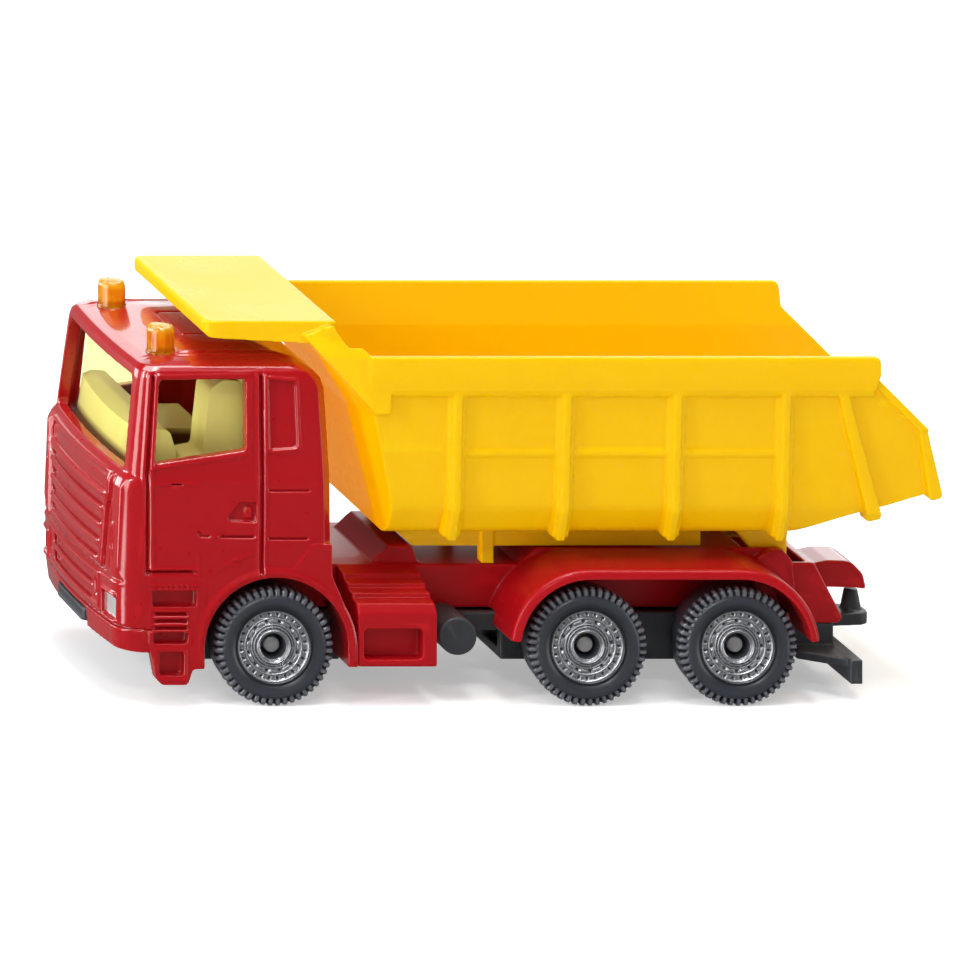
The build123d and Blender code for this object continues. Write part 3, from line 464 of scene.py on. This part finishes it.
def cab_relief(co, no):
    """Panel joints, beads and treads of the cab, pressed into or raised from its skin."""
    x, y, z = co.T
    ax = np.abs(x)
    nx = no[:, 0] * np.sign(x)
    side = step(nx - 0.72, 0.06) * step(ax - 11.4, 0.1)
    front = step(-no[:, 1] - 0.62, 0.08) * step(-37.9 - y, 0.15)
    top = step(no[:, 2] - 0.8, 0.05) * step(z - 33.0, 0.1)
    h = np.zeros(len(co))
    # door joints, with the paint bead on both sides
    yf = np.interp(z, [13.5, 23.2, 33.2], [-38.0, -37.95, -37.0])
    yr = np.interp(z, [13.5, 33.2], [-26.7, -26.3])
    for d, lo, hi in ((y - yf, 13.4, 33.2), (y - yr, 13.2, 33.2)):
        on = band(z, lo, hi, 0.08)
        h += on * (-0.20 * line(d, 0.16) + 0.13 * line(d - 0.42, 0.17) + 0.13 * line(d + 0.42, 0.17))
    on = band(y, -38.2, -33.1, 0.1)
    h += on * (-0.16 * line(z - 13.65, 0.14) + 0.12 * line(z - 14.05, 0.15))
    # creases
    h += 0.14 * line(z - np.interp(y, [-33.2, -32.6, -27.0], [17.9, 17.25, 17.1]), 0.15) * band(y, -33.2, -27.0, 0.08)
    h += 0.13 * line(z - 17.0, 0.15) * band(y, -26.0, -21.6, 0.08)
    h += 0.12 * line(z - 22.45, 0.16) * band(y, -37.4, -33.0, 0.15)
    h += 0.13 * line(z - 21.75, 0.15) * band(y, -25.9, -21.6, 0.08)
    h += 0.12 * line(y + 33.0, 0.15) * band(z, 13.3, 15.4, 0.08)
    # window bead and quarter panel bead
    d = outline(y, z, [(-37.2, 24.4), (-28.05, 25.75), (-27.85, 32.7), (-36.6, 32.6)])
    h += 0.14 * line(d - 0.38, 0.2)
    d = outline(y, z, [(-25.65, 25.8), (-22.8, 26.0), (-22.9, 32.5), (-25.6, 32.7)])
    h += 0.15 * line(d - 0.15, 0.2)
    # small vents, arch flare
    for zz in (14.45, 14.95):
        h += 0.12 * line(z - zz, 0.13) * band(y, -29.6, -28.7, 0.08)
    r = np.hypot(y + 25.12, z - 5.95)
    h += 0.16 * line(r - 7.75, 0.22) * step(z - 4.6, 0.1) * band(y, -33.2, -17.2, 0.1)
    h += 0.07 * line(r - 9.9, 0.25) * step(z - 12.6, 0.3) * band(y, -31.0, -26.8, 0.2)
    # tread ribs and their bumpy ends
    h += 0.14 * line(z - 12.42, 0.14) * band(y, -37.8, -32.9, 0.1) + 0.12 * line(z - 12.02, 0.13) * band(y, -37.8, -33.2, 0.1)
    h += 0.07 * line(z - 12.2, 0.3) * band(y, -37.4, -33.4, 0.1) * np.cos(y * 2 * math.pi / 0.55)
    tread = band(z, 7.8, 9.95, 0.08) * band(y, -37.5, -33.9, 0.08)
    h += tread * 0.12 * np.cos((z - 7.75) * 2 * math.pi / 0.72)
    h += tread * 0.10 * (line(y + 37.2, 0.22) + line(y + 34.3, 0.22)) * np.cos((z - 7.75) * 4 * math.pi / 0.72)
    h += 0.15 * line(outline(y, z, [(-37.05, 3.2), (-34.5, 3.2), (-34.5, 5.75), (-37.05, 5.75)]) - 0.25, 0.16) * step(6.2 - z, 0.1)
    out = co + no * (h * side)[:, None]
    # front: grille frame that narrows downwards, its upper blank panel, slat edges, lower grille, lamp bezels
    h = np.zeros(len(co))
    edge = np.interp(z, [12.9, 19.0, 20.6, 22.6], [9.0, 9.55, 10.2, 10.3])
    h += band(z, 12.9, 22.6, 0.1) * (0.26 * line(ax - edge, 0.2) - 0.20 * line(ax - edge + 0.42, 0.17) - 0.16 * line(ax - edge - 0.45, 0.2))
    h += band(ax, -1, 9.3, 0.1) * (0.16 * line(z - 20.25, 0.16) + 0.14 * line(z - 22.65, 0.2))
    for i, zz in enumerate((18.9, 17.15, 15.4, 13.65)):
        on = step(8.7 - 0.28 * i - ax, 0.1)
        h += on * (0.22 * line(z - zz + 0.25, 0.17) + 0.14 * line(z - zz - 1.1, 0.15) - 0.20 * line(z - zz - 0.5, 0.24))
    d = outline(ax, z, [(-1.0, 8.8), (8.1, 8.8), (8.25, 11.9), (-1.0, 11.9)])
    h += 0.18 * line(d - 0.1, 0.2)
    for zz in (10.25,):
        h += 0.14 * line(z - zz, 0.15) * step(6.9 - ax, 0.1)
    h -= 0.16 * band(ax, 7.3, 7.95, 0.08) * band(z, 9.6, 11.2, 0.08)
    h += 0.09 * line(ax - 7.15, 0.14) * band(z, 9.3, 11.5, 0.08)
    h -= 0.18 * line(z - 12.55, 0.16) * step(12.6 - ax, 0.1)
    h += 0.10 * line(z - 12.1, 0.18) * step(12.6 - ax, 0.1)
    d = outline(ax, z, [(9.45, 8.45), (11.6, 8.4), (11.6, 10.7), (9.45, 10.7)])
    h += 0.22 * line(d - 0.22, 0.17)
    # corner panel with its small L-shaped mark
    h += 0.16 * line(ax - 12.2, 0.3) * band(z, 13.4, 22.2, 0.2)
    h -= 0.15 * line(ax - 10.75, 0.14) * band(z, 13.2, 21.8, 0.1)
    h += 0.12 * (line(ax - 11.35, 0.12) * band(z, 14.6, 17.9, 0.08) + line(z - 17.9, 0.12) * band(ax, 10.9, 11.35, 0.06))
    h -= 0.16 * line(z - 7.85, 0.14)
    out = out + no * (h * front)[:, None]
    # roof: lengthwise flutes along both sides and a joint across behind the beacons
    h = 0.12 * (line(ax - 9.9, 0.22) + line(ax - 9.05, 0.2)) * band(y, -36.9, -22.0, 0.2)
    h -= 0.10 * line(ax - 9.48, 0.18) * band(y, -36.9, -22.0, 0.2)
    clear = np.minimum(1.0, np.hypot(ax - 8.2, y + 35.1) / 2.2) ** 4
    return out + no * (h * top * clear)[:, None]


cab = soften("cab_casting", [NODES["cab_shell"]], 0.10, 2, 195000, cab_relief, 1)
paint(cab, RED)
cab.data.materials.append(LAMP)
for f in cab.data.polygons:
    c = f.center
    if c.y < -0.0375 and f.normal.y < -0.35 and 0.00955 < abs(c.x) < 0.0116 and 0.0086 < c.z < 0.01055:
        f.material_index = 1
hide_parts("cab_shell")
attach(cab, "chassis")

chassis = soften("chassis_frame_casting", [NODES["chassis_casting"]], 0.12, 4, 150000)
paint(chassis, mat_red_frame())
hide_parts("chassis_casting")
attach(chassis, "chassis")

base = soften("base_moulding", [NODES["base_plate"]], 0.14, 2, 90000)
paint(base, DARK)
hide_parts("base_plate")
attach(base, "chassis")

tipper = soften("tipper_moulding", [NODES["tipping_body"]], 0.14, 3, 150000)
paint(tipper, YELLOW)
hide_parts("tipping_body")
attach(tipper, "tipper")

keep("cab_interior", INTERIOR)
keep("base_rivets", BARE)
keep("tipper_hinge_pin", BARE)


def glazing_mesh():
    """The window moulding without its beacon stubs, which the fluted lenses stand for."""
    src = NODES["window_and_beacon_moulding"]
    ob = bpy.data.objects.new("window_moulding", src.data.copy())
    bpy.context.scene.collection.objects.link(ob)
    bm = bmesh.new()
    bm.from_mesh(ob.data)
    bmesh.ops.remove_doubles(bm, verts=bm.verts, dist=1e-7)
    for sx in (-1, 1):
        near = lambda v: math.hypot(v.co.x - sx * BEACON[0] * MM, v.co.y - BEACON[1] * MM) < 1.40 * MM and v.co.z > 32.6 * MM
        vs = {v for v in bm.verts if near(v)}
        fs = [f for f in bm.faces if all(v in vs for v in f.verts)]
        es = {e for f in fs for e in f.edges}
        vv = {v for f in fs for v in f.verts}
        r = bmesh.ops.bisect_plane(bm, geom=fs + list(es) + list(vv), dist=1e-8, plane_co=(0, 0, 33.75 * MM), plane_no=(0, 0, 1))
        gone = [f for f in bm.faces if math.hypot(f.calc_center_median().x - sx * BEACON[0] * MM, f.calc_center_median().y - BEACON[1] * MM) < 1.40 * MM and f.calc_center_median().z > 33.7501 * MM]
        bmesh.ops.delete(bm, geom=gone, context="FACES")
        edges = [e for e in bm.edges if e.is_boundary]
        bmesh.ops.holes_fill(bm, edges=edges, sides=0)
    bmesh.ops.delete(bm, geom=[v for v in bm.verts if not v.link_faces], context="VERTS")
    bm.to_mesh(ob.data)
    bm.free()
    return ob


BEACON = (8.2, -35.1)


def lens_mesh(name, x, y):
    """Beacon lens: ringed foot, fluted wall, rounded shoulder with a crown of small prisms."""
    seg = 120
    prof = [(0.0, 33.80), (0.9, 33.80), (1.30, 33.82), (1.31, 34.0), (1.33, 34.12), (1.43, 34.18), (1.46, 34.28), (1.44, 34.40), (1.37, 34.46), (1.33, 34.56),
            (1.33, 34.8), (1.33, 35.2), (1.33, 35.6), (1.33, 36.0), (1.32, 36.3), (1.30, 36.48), (1.27, 36.62), (1.20, 36.78), (1.10, 36.90), (0.96, 36.98), (0.8, 37.03), (0.6, 37.07), (0.35, 37.10), (0.0, 37.11)]
    ang = np.arange(seg) / seg * 2 * math.pi
    verts, faces, rows = [], [], []
    for r, z in prof:
        if r == 0:
            rows.append([len(verts)])
            verts.append((x, y, z))
            continue
        row = []
        for a in ang:
            flute = 0.045 * (0.5 + 0.5 * math.cos(12 * a)) * min(1.0, max(0.0, (z - 34.5) / 0.15)) * min(1.0, max(0.0, (36.75 - z) / 0.2))
            crown = 0.10 * max(0.0, math.cos(12 * a)) * math.exp(-(((r - 1.12) / 0.13) ** 2)) * (z > 36.5)
            rr = r + flute + crown * 0.4
            row.append(len(verts))
            verts.append((x + rr * math.cos(a), y + rr * math.sin(a), z + crown))
        rows.append(row)
    for a, b in zip(rows, rows[1:]):
        for i in range(seg):
            k = (i + 1) % seg
            if len(a) == 1:
                faces.append((a[0], b[k], b[i]))
            elif len(b) == 1:
                faces.append((a[i], a[k], b[0]))
            else:
                faces.append((a[i], a[k], b[k], b[i]))
    ob = from_arrays(name, np.array(verts) * MM, faces)
    smooth_shade(ob.data)
    return ob


g = glazing_mesh()
paint(g, GLAZE)
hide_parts("window_and_beacon_moulding")
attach(g, "chassis")
for sx, sname in ((1, "left"), (-1, "right")):
    b = lens_mesh(f"beacon_lens_{sname}", sx * BEACON[0], BEACON[1])
    paint(b, BEACON_MAT)
    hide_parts("window_and_beacon_moulding")
    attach(b, "chassis")


# =====================================================================================================================
# wheels
# =====================================================================================================================
def arc(cx, cr, rad, a0, a1, n):
    return [(cx + rad * math.cos(math.radians(a0 + (a1 - a0) * i / n)), cr + rad * math.sin(math.radians(a0 + (a1 - a0) * i / n))) for i in range(n + 1)]


LUGS = 48


def tyre_mesh(name, side, y, z, phase):
    """Tyre as a closed ring: smooth sidewall, a row of shoulder lugs on the outer edge of the tread."""
    seg = LUGS * 8
    xo, xi, R = 13.2, 9.1, 5.97
    prof = []
    # outer face from the bead outwards: lip round the rim, hollow, bulge, undercut line, shoulder
    prof += [(xo - 0.55, 3.60), (xo - 0.32, 3.62), (xo - 0.26, 3.70), (xo - 0.26, 3.80), (xo - 0.30, 3.88)]
    prof += [(xo - 0.24, 3.96), (xo - 0.14, 4.12), (xo - 0.05, 4.32), (xo + 0.01, 4.54), (xo + 0.02, 4.74), (xo - 0.02, 4.92), (xo - 0.09, 5.05), (xo - 0.17, 5.12)]
    prof += [(xo - 0.14, 5.19), (xo - 0.13, 5.29), (xo - 0.13, 5.42), (xo - 0.16, 5.6), (xo - 0.23, 5.77), (xo - 0.36, 5.89), (xo - 0.52, 5.95), (xo - 0.75, R)]
    prof += [(xo - 0.95, R), (xo - 1.1, R - 0.01), (xo - 1.2, R - 0.08), (xo - 1.25, R - 0.18)]
    prof += [(xo - 1.4, R - 0.22), (xo - 1.7, R - 0.2), (xo - 2.2, R - 0.18), (xo - 2.8, R - 0.19), (xo - 3.4, R - 0.24), (xo - 3.8, R - 0.38), (xi + 0.12, 5.35), (xi, 5.1), (xi, 4.6), (xi + 0.1, 4.0), (xi + 0.12, 3.6)]
    prof = np.array(prof)
    n = len(prof)
    verts, tread_shade_highlight = [], []
    ang = np.arange(seg) / seg * 2 * math.pi
    lug = (np.arange(seg) / 8.0 + phase) % 1.0
    # 1 on a lug, 0 in the gap, with short ramps
    on = np.clip((0.5 - np.abs(lug - 0.5) - 0.19) / 0.08, 0, 1)
    for i in range(seg):
        for j in range(n):
            x, r = prof[j]
            gap = 0.0
            # painted light per point: on the sidewall darker towards the rim, painted shade in the tread gaps, painted
            # highlight on the lug tops
            tread_shade_highlight.append(0.10 + 0.40 * min(1.0, max(0.0, (r - 3.75) / 0.85)) if x > xo - 0.6 and r <= 5.13 else 0.3)
            if 5.13 < r and x > xo - 1.22:
                # depth of the gap between lugs: sideways on the shoulder, inwards on the tread
                t = min(1.0, (r - 5.13) / 0.12)
                gap = (1 - on[i]) * t
                tread_shade_highlight[-1] = 0.5 * (1 - t) + on[i] * t
            if gap:
                side_w = min(1.0, max(0.0, (x - (xo - 0.45)) / 0.25))
                x2 = x - 0.22 * gap * side_w
                r2 = r - 0.26 * gap * (1 - side_w * 0.75)
                x, r = x2, r2
            verts.append((side * x, y + r * math.cos(ang[i]), z + r * math.sin(ang[i])))
    faces = []
    for i in range(seg):
        k = (i + 1) % seg
        for j in range(n):
            l = (j + 1) % n
            q = (i * n + j, i * n + l, k * n + l, k * n + j)
            faces.append(q if side > 0 else q[::-1])
    ob = from_arrays(name, np.array(verts) * MM, faces)
    ob.data.attributes.new("tread_shade_highlight", "FLOAT", "POINT").data.foreach_set("value", [float(w) for w in tread_shade_highlight])
    smooth_shade(ob.data)
    return ob


def rim_height(r, a):
    """How far the stamped rim face stands out (mm) at radius r and angle a; arrays."""
    h = np.zeros_like(r)
    # outer lip
    h += 0.22 * band(r, 3.42, 3.75, 0.03)
    # outer row of blocks between r 2.85 and 3.38, 24 round the rim, with a small pit in each gap
    t24 = np.cos(24 * a)
    h += 0.09 * band(r, 2.98, 3.36, 0.03) * step(t24 + 0.45, 0.12)
    h -= 0.36 * np.exp(-(((r - 3.22) / 0.10) ** 2)) * step(-t24 - 0.70, 0.05)
    # inner row: 12 arms that run in from the ring, each with a pit beside it
    t12 = np.cos(12 * a)
    h += 0.12 * band(r, 2.38, 2.66, 0.03) * step(t12 + 0.15, 0.12)
    h += 0.15 * band(r, 2.76, 2.92, 0.025)
    h -= 0.38 * np.exp(-(((r - 2.52) / 0.11) ** 2)) * step(-t12 - 0.80, 0.05)
    # turned rings round the hub
    h += 0.14 * np.exp(-(((r - 2.2) / 0.07) ** 2))
    h += 0.17 * np.exp(-(((r - 1.93) / 0.07) ** 2))
    h += 0.20 * np.exp(-(((r - 1.62) / 0.09) ** 2))
    h += 0.10 * band(r, 1.35, 1.78, 0.04)
    return h * 1.25


def rim_mesh(name, side, y, z, turn):
    seg = 24 * 12
    face_x = 12.52
    radii = np.concatenate([np.linspace(1.27, 2.3, 34), np.linspace(2.33, 3.62, 52)])
    prof_in = [(11.0, 0.82), (11.05, 1.12), (11.6, 1.17), (12.1, 1.20), (12.4, 1.235), (12.6, 1.25)]
    rows = []
    ang = np.arange(seg) / seg * 2 * math.pi
    for x, r in prof_in:
        rows.append((np.full(seg, x), np.full(seg, r)))
    for r in radii:
        rr = np.full(seg, r)
        h = rim_height(rr, ang + turn)
        soft = min(1.0, (r - 1.25) / 0.08)
        rows.append((face_x + h * soft, rr))
    rows.append((np.full(seg, face_x - 0.25), np.full(seg, 3.63)))
    rows.append((np.full(seg, 9.4), np.full(seg, 3.62)))
    rows.append((np.full(seg, 9.35), np.full(seg, 2.6)))
    rows.append((np.full(seg, 10.8), np.full(seg, 2.5)))
    rows.append((np.full(seg, 10.8), np.full(seg, 1.5)))
    rows.append((np.full(seg, 9.4), np.full(seg, 1.45)))
    rows.append((np.full(seg, 9.4), np.full(seg, 0.82)))
    n = len(rows)
    X = np.array([r[0] for r in rows])
    Rr = np.array([r[1] for r in rows])
    V = np.stack([side * X, y + Rr * np.cos(ang)[None, :], z + Rr * np.sin(ang)[None, :]], -1).reshape(-1, 3)
    faces = []
    for j in range(n):
        l = (j + 1) % n
        for i in range(seg):
            k = (i + 1) % seg
            q = (j * seg + i, l * seg + i, l * seg + k, j * seg + k)
            faces.append(q if side > 0 else q[::-1])
    ob = from_arrays(name, V * MM, faces)
    smooth_shade(ob.data)
    return ob


def axle_mesh(name, y, z, end):
    """Steel axle with slightly domed, sheared ends."""
    seg = 64
    half = [(0.0, end + 0.06), (0.25, end + 0.055), (0.5, end + 0.03), (0.64, end - 0.01), (0.74, end - 0.07), (0.785, end - 0.14), (0.8, end - 0.24)]
    prof = [(r, x) for r, x in half] + [(0.8, end - 3.0), (0.8, 4.0), (0.8, 0.0)]
    prof += [(r, -x) for r, x in prof[::-1][1:]]
    ang = np.arange(seg) / seg * 2 * math.pi
    verts, faces = [], []
    for r, x in prof:
        if r == 0:
            verts.append((x, y, z))
        else:
            for a in ang:
                w = r * (1 + 0.012 * math.sin(3 * a + x) * (abs(x) > end - 0.2))
                verts.append((x, y + w * math.cos(a), z + w * math.sin(a)))
    m = len(prof) - 2
    idx = lambda j, i: 1 + j * seg + i % seg
    for i in range(seg):
        faces.append((0, idx(0, i), idx(0, i + 1)))
        last = 1 + m * seg
        faces.append((last, idx(m - 1, i + 1), idx(m - 1, i)))
        for j in range(m - 1):
            faces.append((idx(j, i), idx(j + 1, i), idx(j + 1, i + 1), idx(j, i + 1)))
    ob = from_arrays(name, np.array(verts) * MM, faces)
    bm = bmesh.new()
    bm.from_mesh(ob.data)
    bmesh.ops.recalc_face_normals(bm, faces=bm.faces)
    bm.to_mesh(ob.data)
    bm.free()
    smooth_shade(ob.data)
    return ob


for k, (n, body) in enumerate((("front", "front_wheels"), ("mid", "mid_wheels"), ("rear", "rear_wheels"))):
    lo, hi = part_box(f"{n}_axle")
    yy, zz, end = (lo.y + hi.y) * 500, (lo.z + hi.z) * 500, hi.x * 1000
    for side, sname in ((1, "left"), (-1, "right")):
        t = tyre_mesh(f"{n}_tyre_{sname}_lugged", side, yy, zz, 0.21 * k + (0.4 if side < 0 else 0))
        paint(t, TYRE)
        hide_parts(f"{n}_tyre_{sname}")
        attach(t, body)
        r = rim_mesh(f"{n}_rim_{sname}_stamped", side, yy, zz, 0.13 * k)
        paint(r, CHROME)
        # painted shade: faces of the hub bore inside r 1.30 mm take the dark moulding, standing for the shadow in the
        # hole
        r.data.materials.append(DARK)
        for f in r.data.polygons:
            d = math.hypot(f.center.y * 1000 - yy, f.center.z * 1000 - zz)
            if d < 1.30:
                f.material_index = 1
        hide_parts(f"{n}_rim_{sname}")
        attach(r, body)
    a = axle_mesh(f"{n}_axle_rod", yy, zz, end)
    paint(a, STEEL)
    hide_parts(f"{n}_axle")
    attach(a, body)


# =====================================================================================================================
# stage, lights, camera
# =====================================================================================================================
def stage_floor():
    bm = bmesh.new()
    n = 24
    size = 6.0
    for i in range(n + 1):
        for j in range(n + 1):
            bm.verts.new(((i / n - 0.5) * size, (j / n - 0.5) * size, 0.0))
    bm.verts.ensure_lookup_table()
    for i in range(n):
        for j in range(n):
            a = i * (n + 1) + j
            bm.faces.new([bm.verts[a], bm.verts[a + n + 1], bm.verts[a + n + 2], bm.verts[a + 1]])
    me = bpy.data.meshes.new("studio_floor")
    bm.to_mesh(me)
    bm.free()
    ob = bpy.data.objects.new("studio_floor", me)
    bpy.context.scene.collection.objects.link(ob)
    m = Mat("pale_paper")
    m.set(Roughness=0.9, Specular_IOR_Level=0.1)
    c = m.mix(m.remap(m.noise(3.0, 2.0), 0.3, 0.7, 0.0, 1.0), (0.92, 0.92, 0.92), (0.90, 0.90, 0.905))
    m.link(c, m.bsdf.inputs["Base Color"])
    # the table glows a little towards the lens, as overexposed paper does; the enamel doesn't mirror it
    lp = m.node("ShaderNodeLightPath")
    m.bsdf.inputs["Emission Color"].default_value = (1, 1, 1, 1)
    m.link(m.remap(lp.outputs["Is Camera Ray"], 0.0, 1.0, 0.0, 0.38), m.bsdf.inputs["Emission Strength"])
    paint(ob, m.m)
    ob.visible_glossy = False
    return ob


stage_floor()

world = bpy.data.worlds.new("studio")
bpy.context.scene.world = world
world.use_nodes = True
wt = world.node_tree
for n in list(wt.nodes):
    wt.nodes.remove(n)


def wnode(kind, **kw):
    x = wt.nodes.new(kind)
    for k, v in kw.items():
        setattr(x, k, v)
    return x


def wmath(op, a, b=None, clamp=False):
    x = wnode("ShaderNodeMath", operation=op, use_clamp=clamp)
    for s, v in ((x.inputs[0], a), (x.inputs[1], b)):
        if v is None:
            continue
        if hasattr(v, "links"):
            wt.links.new(v, s)
        else:
            s.default_value = v
    return x.outputs[0]


def wramp(src, a, b, c, d):
    x = wnode("ShaderNodeMapRange", interpolation_type="SMOOTHSTEP")
    for k, v in zip(("From Min", "From Max", "To Min", "To Max"), (a, b, c, d)):
        x.inputs[k].default_value = v
    wt.links.new(src, x.inputs["Value"])
    return x.outputs["Result"]


# a white tent behind the truck, a dark room on the camera's side: the enamel mirrors the tent only at grazing angles
sep = wnode("ShaderNodeSeparateXYZ")
wt.links.new(wnode("ShaderNodeTexCoord").outputs["Generated"], sep.inputs[0])
tent = wramp(sep.outputs["X"], -0.05, -0.55, 0.0, 1.0)
up = wramp(sep.outputs["Z"], -0.08, 0.12, 0.0, 1.0)
rear = wramp(sep.outputs["Y"], -0.12, 0.12, 0.0, 1.0)
level = wmath("ADD", wmath("MULTIPLY", wmath("MULTIPLY", up, rear), 2.3), 0.24)
level = wmath("MULTIPLY", level, wramp(sep.outputs["Z"], 0.5, 0.75, 1.0, 0.15))
ax = wmath("ABSOLUTE", sep.outputs["X"])
# long softbox overhead and an upright one ahead of the truck: they draw the bright lines along the edges
zenith = wmath("MULTIPLY", wramp(sep.outputs["Z"], 0.80, 0.86, 0.0, 11.0), wramp(ax, 0.36, 0.28, 0.0, 1.0))
ahead = wmath("MULTIPLY", wramp(sep.outputs["Y"], -0.86, -0.92, 0.0, 8.0), wmath("MULTIPLY", wramp(sep.outputs["X"], 0.08, 0.14, 0.0, 1.0), wramp(sep.outputs["X"], 0.50, 0.42, 0.0, 1.0)))
behind = wmath("MULTIPLY", wramp(sep.outputs["Y"], 0.88, 0.94, 0.0, 3.0), wramp(sep.outputs["X"], 0.08, 0.14, 0.0, 1.0))
glossy = wmath("ADD", wmath("ADD", wmath("MULTIPLY", tent, level), zenith), wmath("ADD", wmath("ADD", ahead, behind), 0.02))
diffuse = wramp(sep.outputs["Z"], -0.6, 0.8, 0.50, 0.62)
lp = wnode("ShaderNodeLightPath")
gl = wmath("MAXIMUM", lp.outputs["Is Glossy Ray"], lp.outputs["Is Transmission Ray"])
strength = wnode("ShaderNodeMix", data_type="FLOAT")
wt.links.new(gl, strength.inputs["Factor"])
wt.links.new(diffuse, strength.inputs[2])
wt.links.new(glossy, strength.inputs[3])
strength2 = wnode("ShaderNodeMix", data_type="FLOAT")
wt.links.new(lp.outputs["Is Camera Ray"], strength2.inputs["Factor"])
wt.links.new(strength.outputs[0], strength2.inputs[2])
strength2.inputs[3].default_value = 1.0
bg = wnode("ShaderNodeBackground")
wt.links.new(strength2.outputs[0], bg.inputs["Strength"])
wt.links.new(bg.outputs[0], wnode("ShaderNodeOutputWorld").inputs[0])


def area(name, loc, target, size, size_y, energy, color=(1, 1, 1)):
    li = bpy.data.lights.new(name, "AREA")
    li.shape = "RECTANGLE"
    li.size, li.size_y, li.energy, li.color = size, size_y, energy, color
    ob = bpy.data.objects.new(name, li)
    bpy.context.scene.collection.objects.link(ob)
    ob.location = loc
    d = Vector(target) - Vector(loc)
    ob.rotation_euler = d.to_track_quat("-Z", "Y").to_euler()
    return ob


area("overhead_strip", (0.16, -0.02, 0.80), (0, 0, 0), 0.13, 0.42, 3.0)
area("front_strip", (0.30, -0.75, 0.42), (0, -0.02, 0.02), 0.10, 0.30, 2.6)
area("low_front_fill", (-0.35, -0.55, 0.12), (0, -0.03, 0.02), 0.4, 0.22, 2.2)
area("camera_strip", (0.80, -0.28, 0.72), (0, 0, 0.02), 0.30, 0.07, 1.5)
area("back_strip", (-0.50, 0.40, 0.60), (0, 0, 0.02), 0.3, 0.12, 1.2)

# camera: a view camera whose back stays upright and side-on, shifted to bring the truck into the frame
cam_data = bpy.data.cameras.new("photo_camera")
cam = bpy.data.objects.new("photo_camera", cam_data)
bpy.context.scene.collection.objects.link(cam)
CAM = (0.9514, -0.3238, 0.3023)
cam.location = CAM
cam.rotation_euler = (math.radians(90), 0, math.radians(90))
cam_data.sensor_width = 36.0
cam_data.lens = 350.7
cam_data.clip_start = 0.01
cam_data.clip_end = 50
SHIFT = (3.3146, -2.902)
for prop, val in (("shift_x", SHIFT[0]), ("shift_y", SHIFT[1])):
    fc = cam_data.driver_add(prop)
    d = fc.driver
    d.type = "SCRIPTED"
    for vn, tt in (("px", "LOC_X"), ("py", "LOC_Y"), ("pz", "LOC_Z")):
        v = d.variables.new()
        v.name = vn
        v.type = "TRANSFORMS"
        v.targets[0].id = cam
        v.targets[0].transform_type = tt
        v.targets[0].transform_space = "WORLD_SPACE"
    d.expression = f"{val} if (px-{CAM[0]})*(px-{CAM[0]})+(py+{-CAM[1]})*(py+{-CAM[1]})+(pz-{CAM[2]})*(pz-{CAM[2]}) < 0.000004 else 0.0"
bpy.context.scene.camera = cam
bpy.context.scene.view_settings.view_transform = "Standard"
bpy.context.scene.view_settings.look = "None"
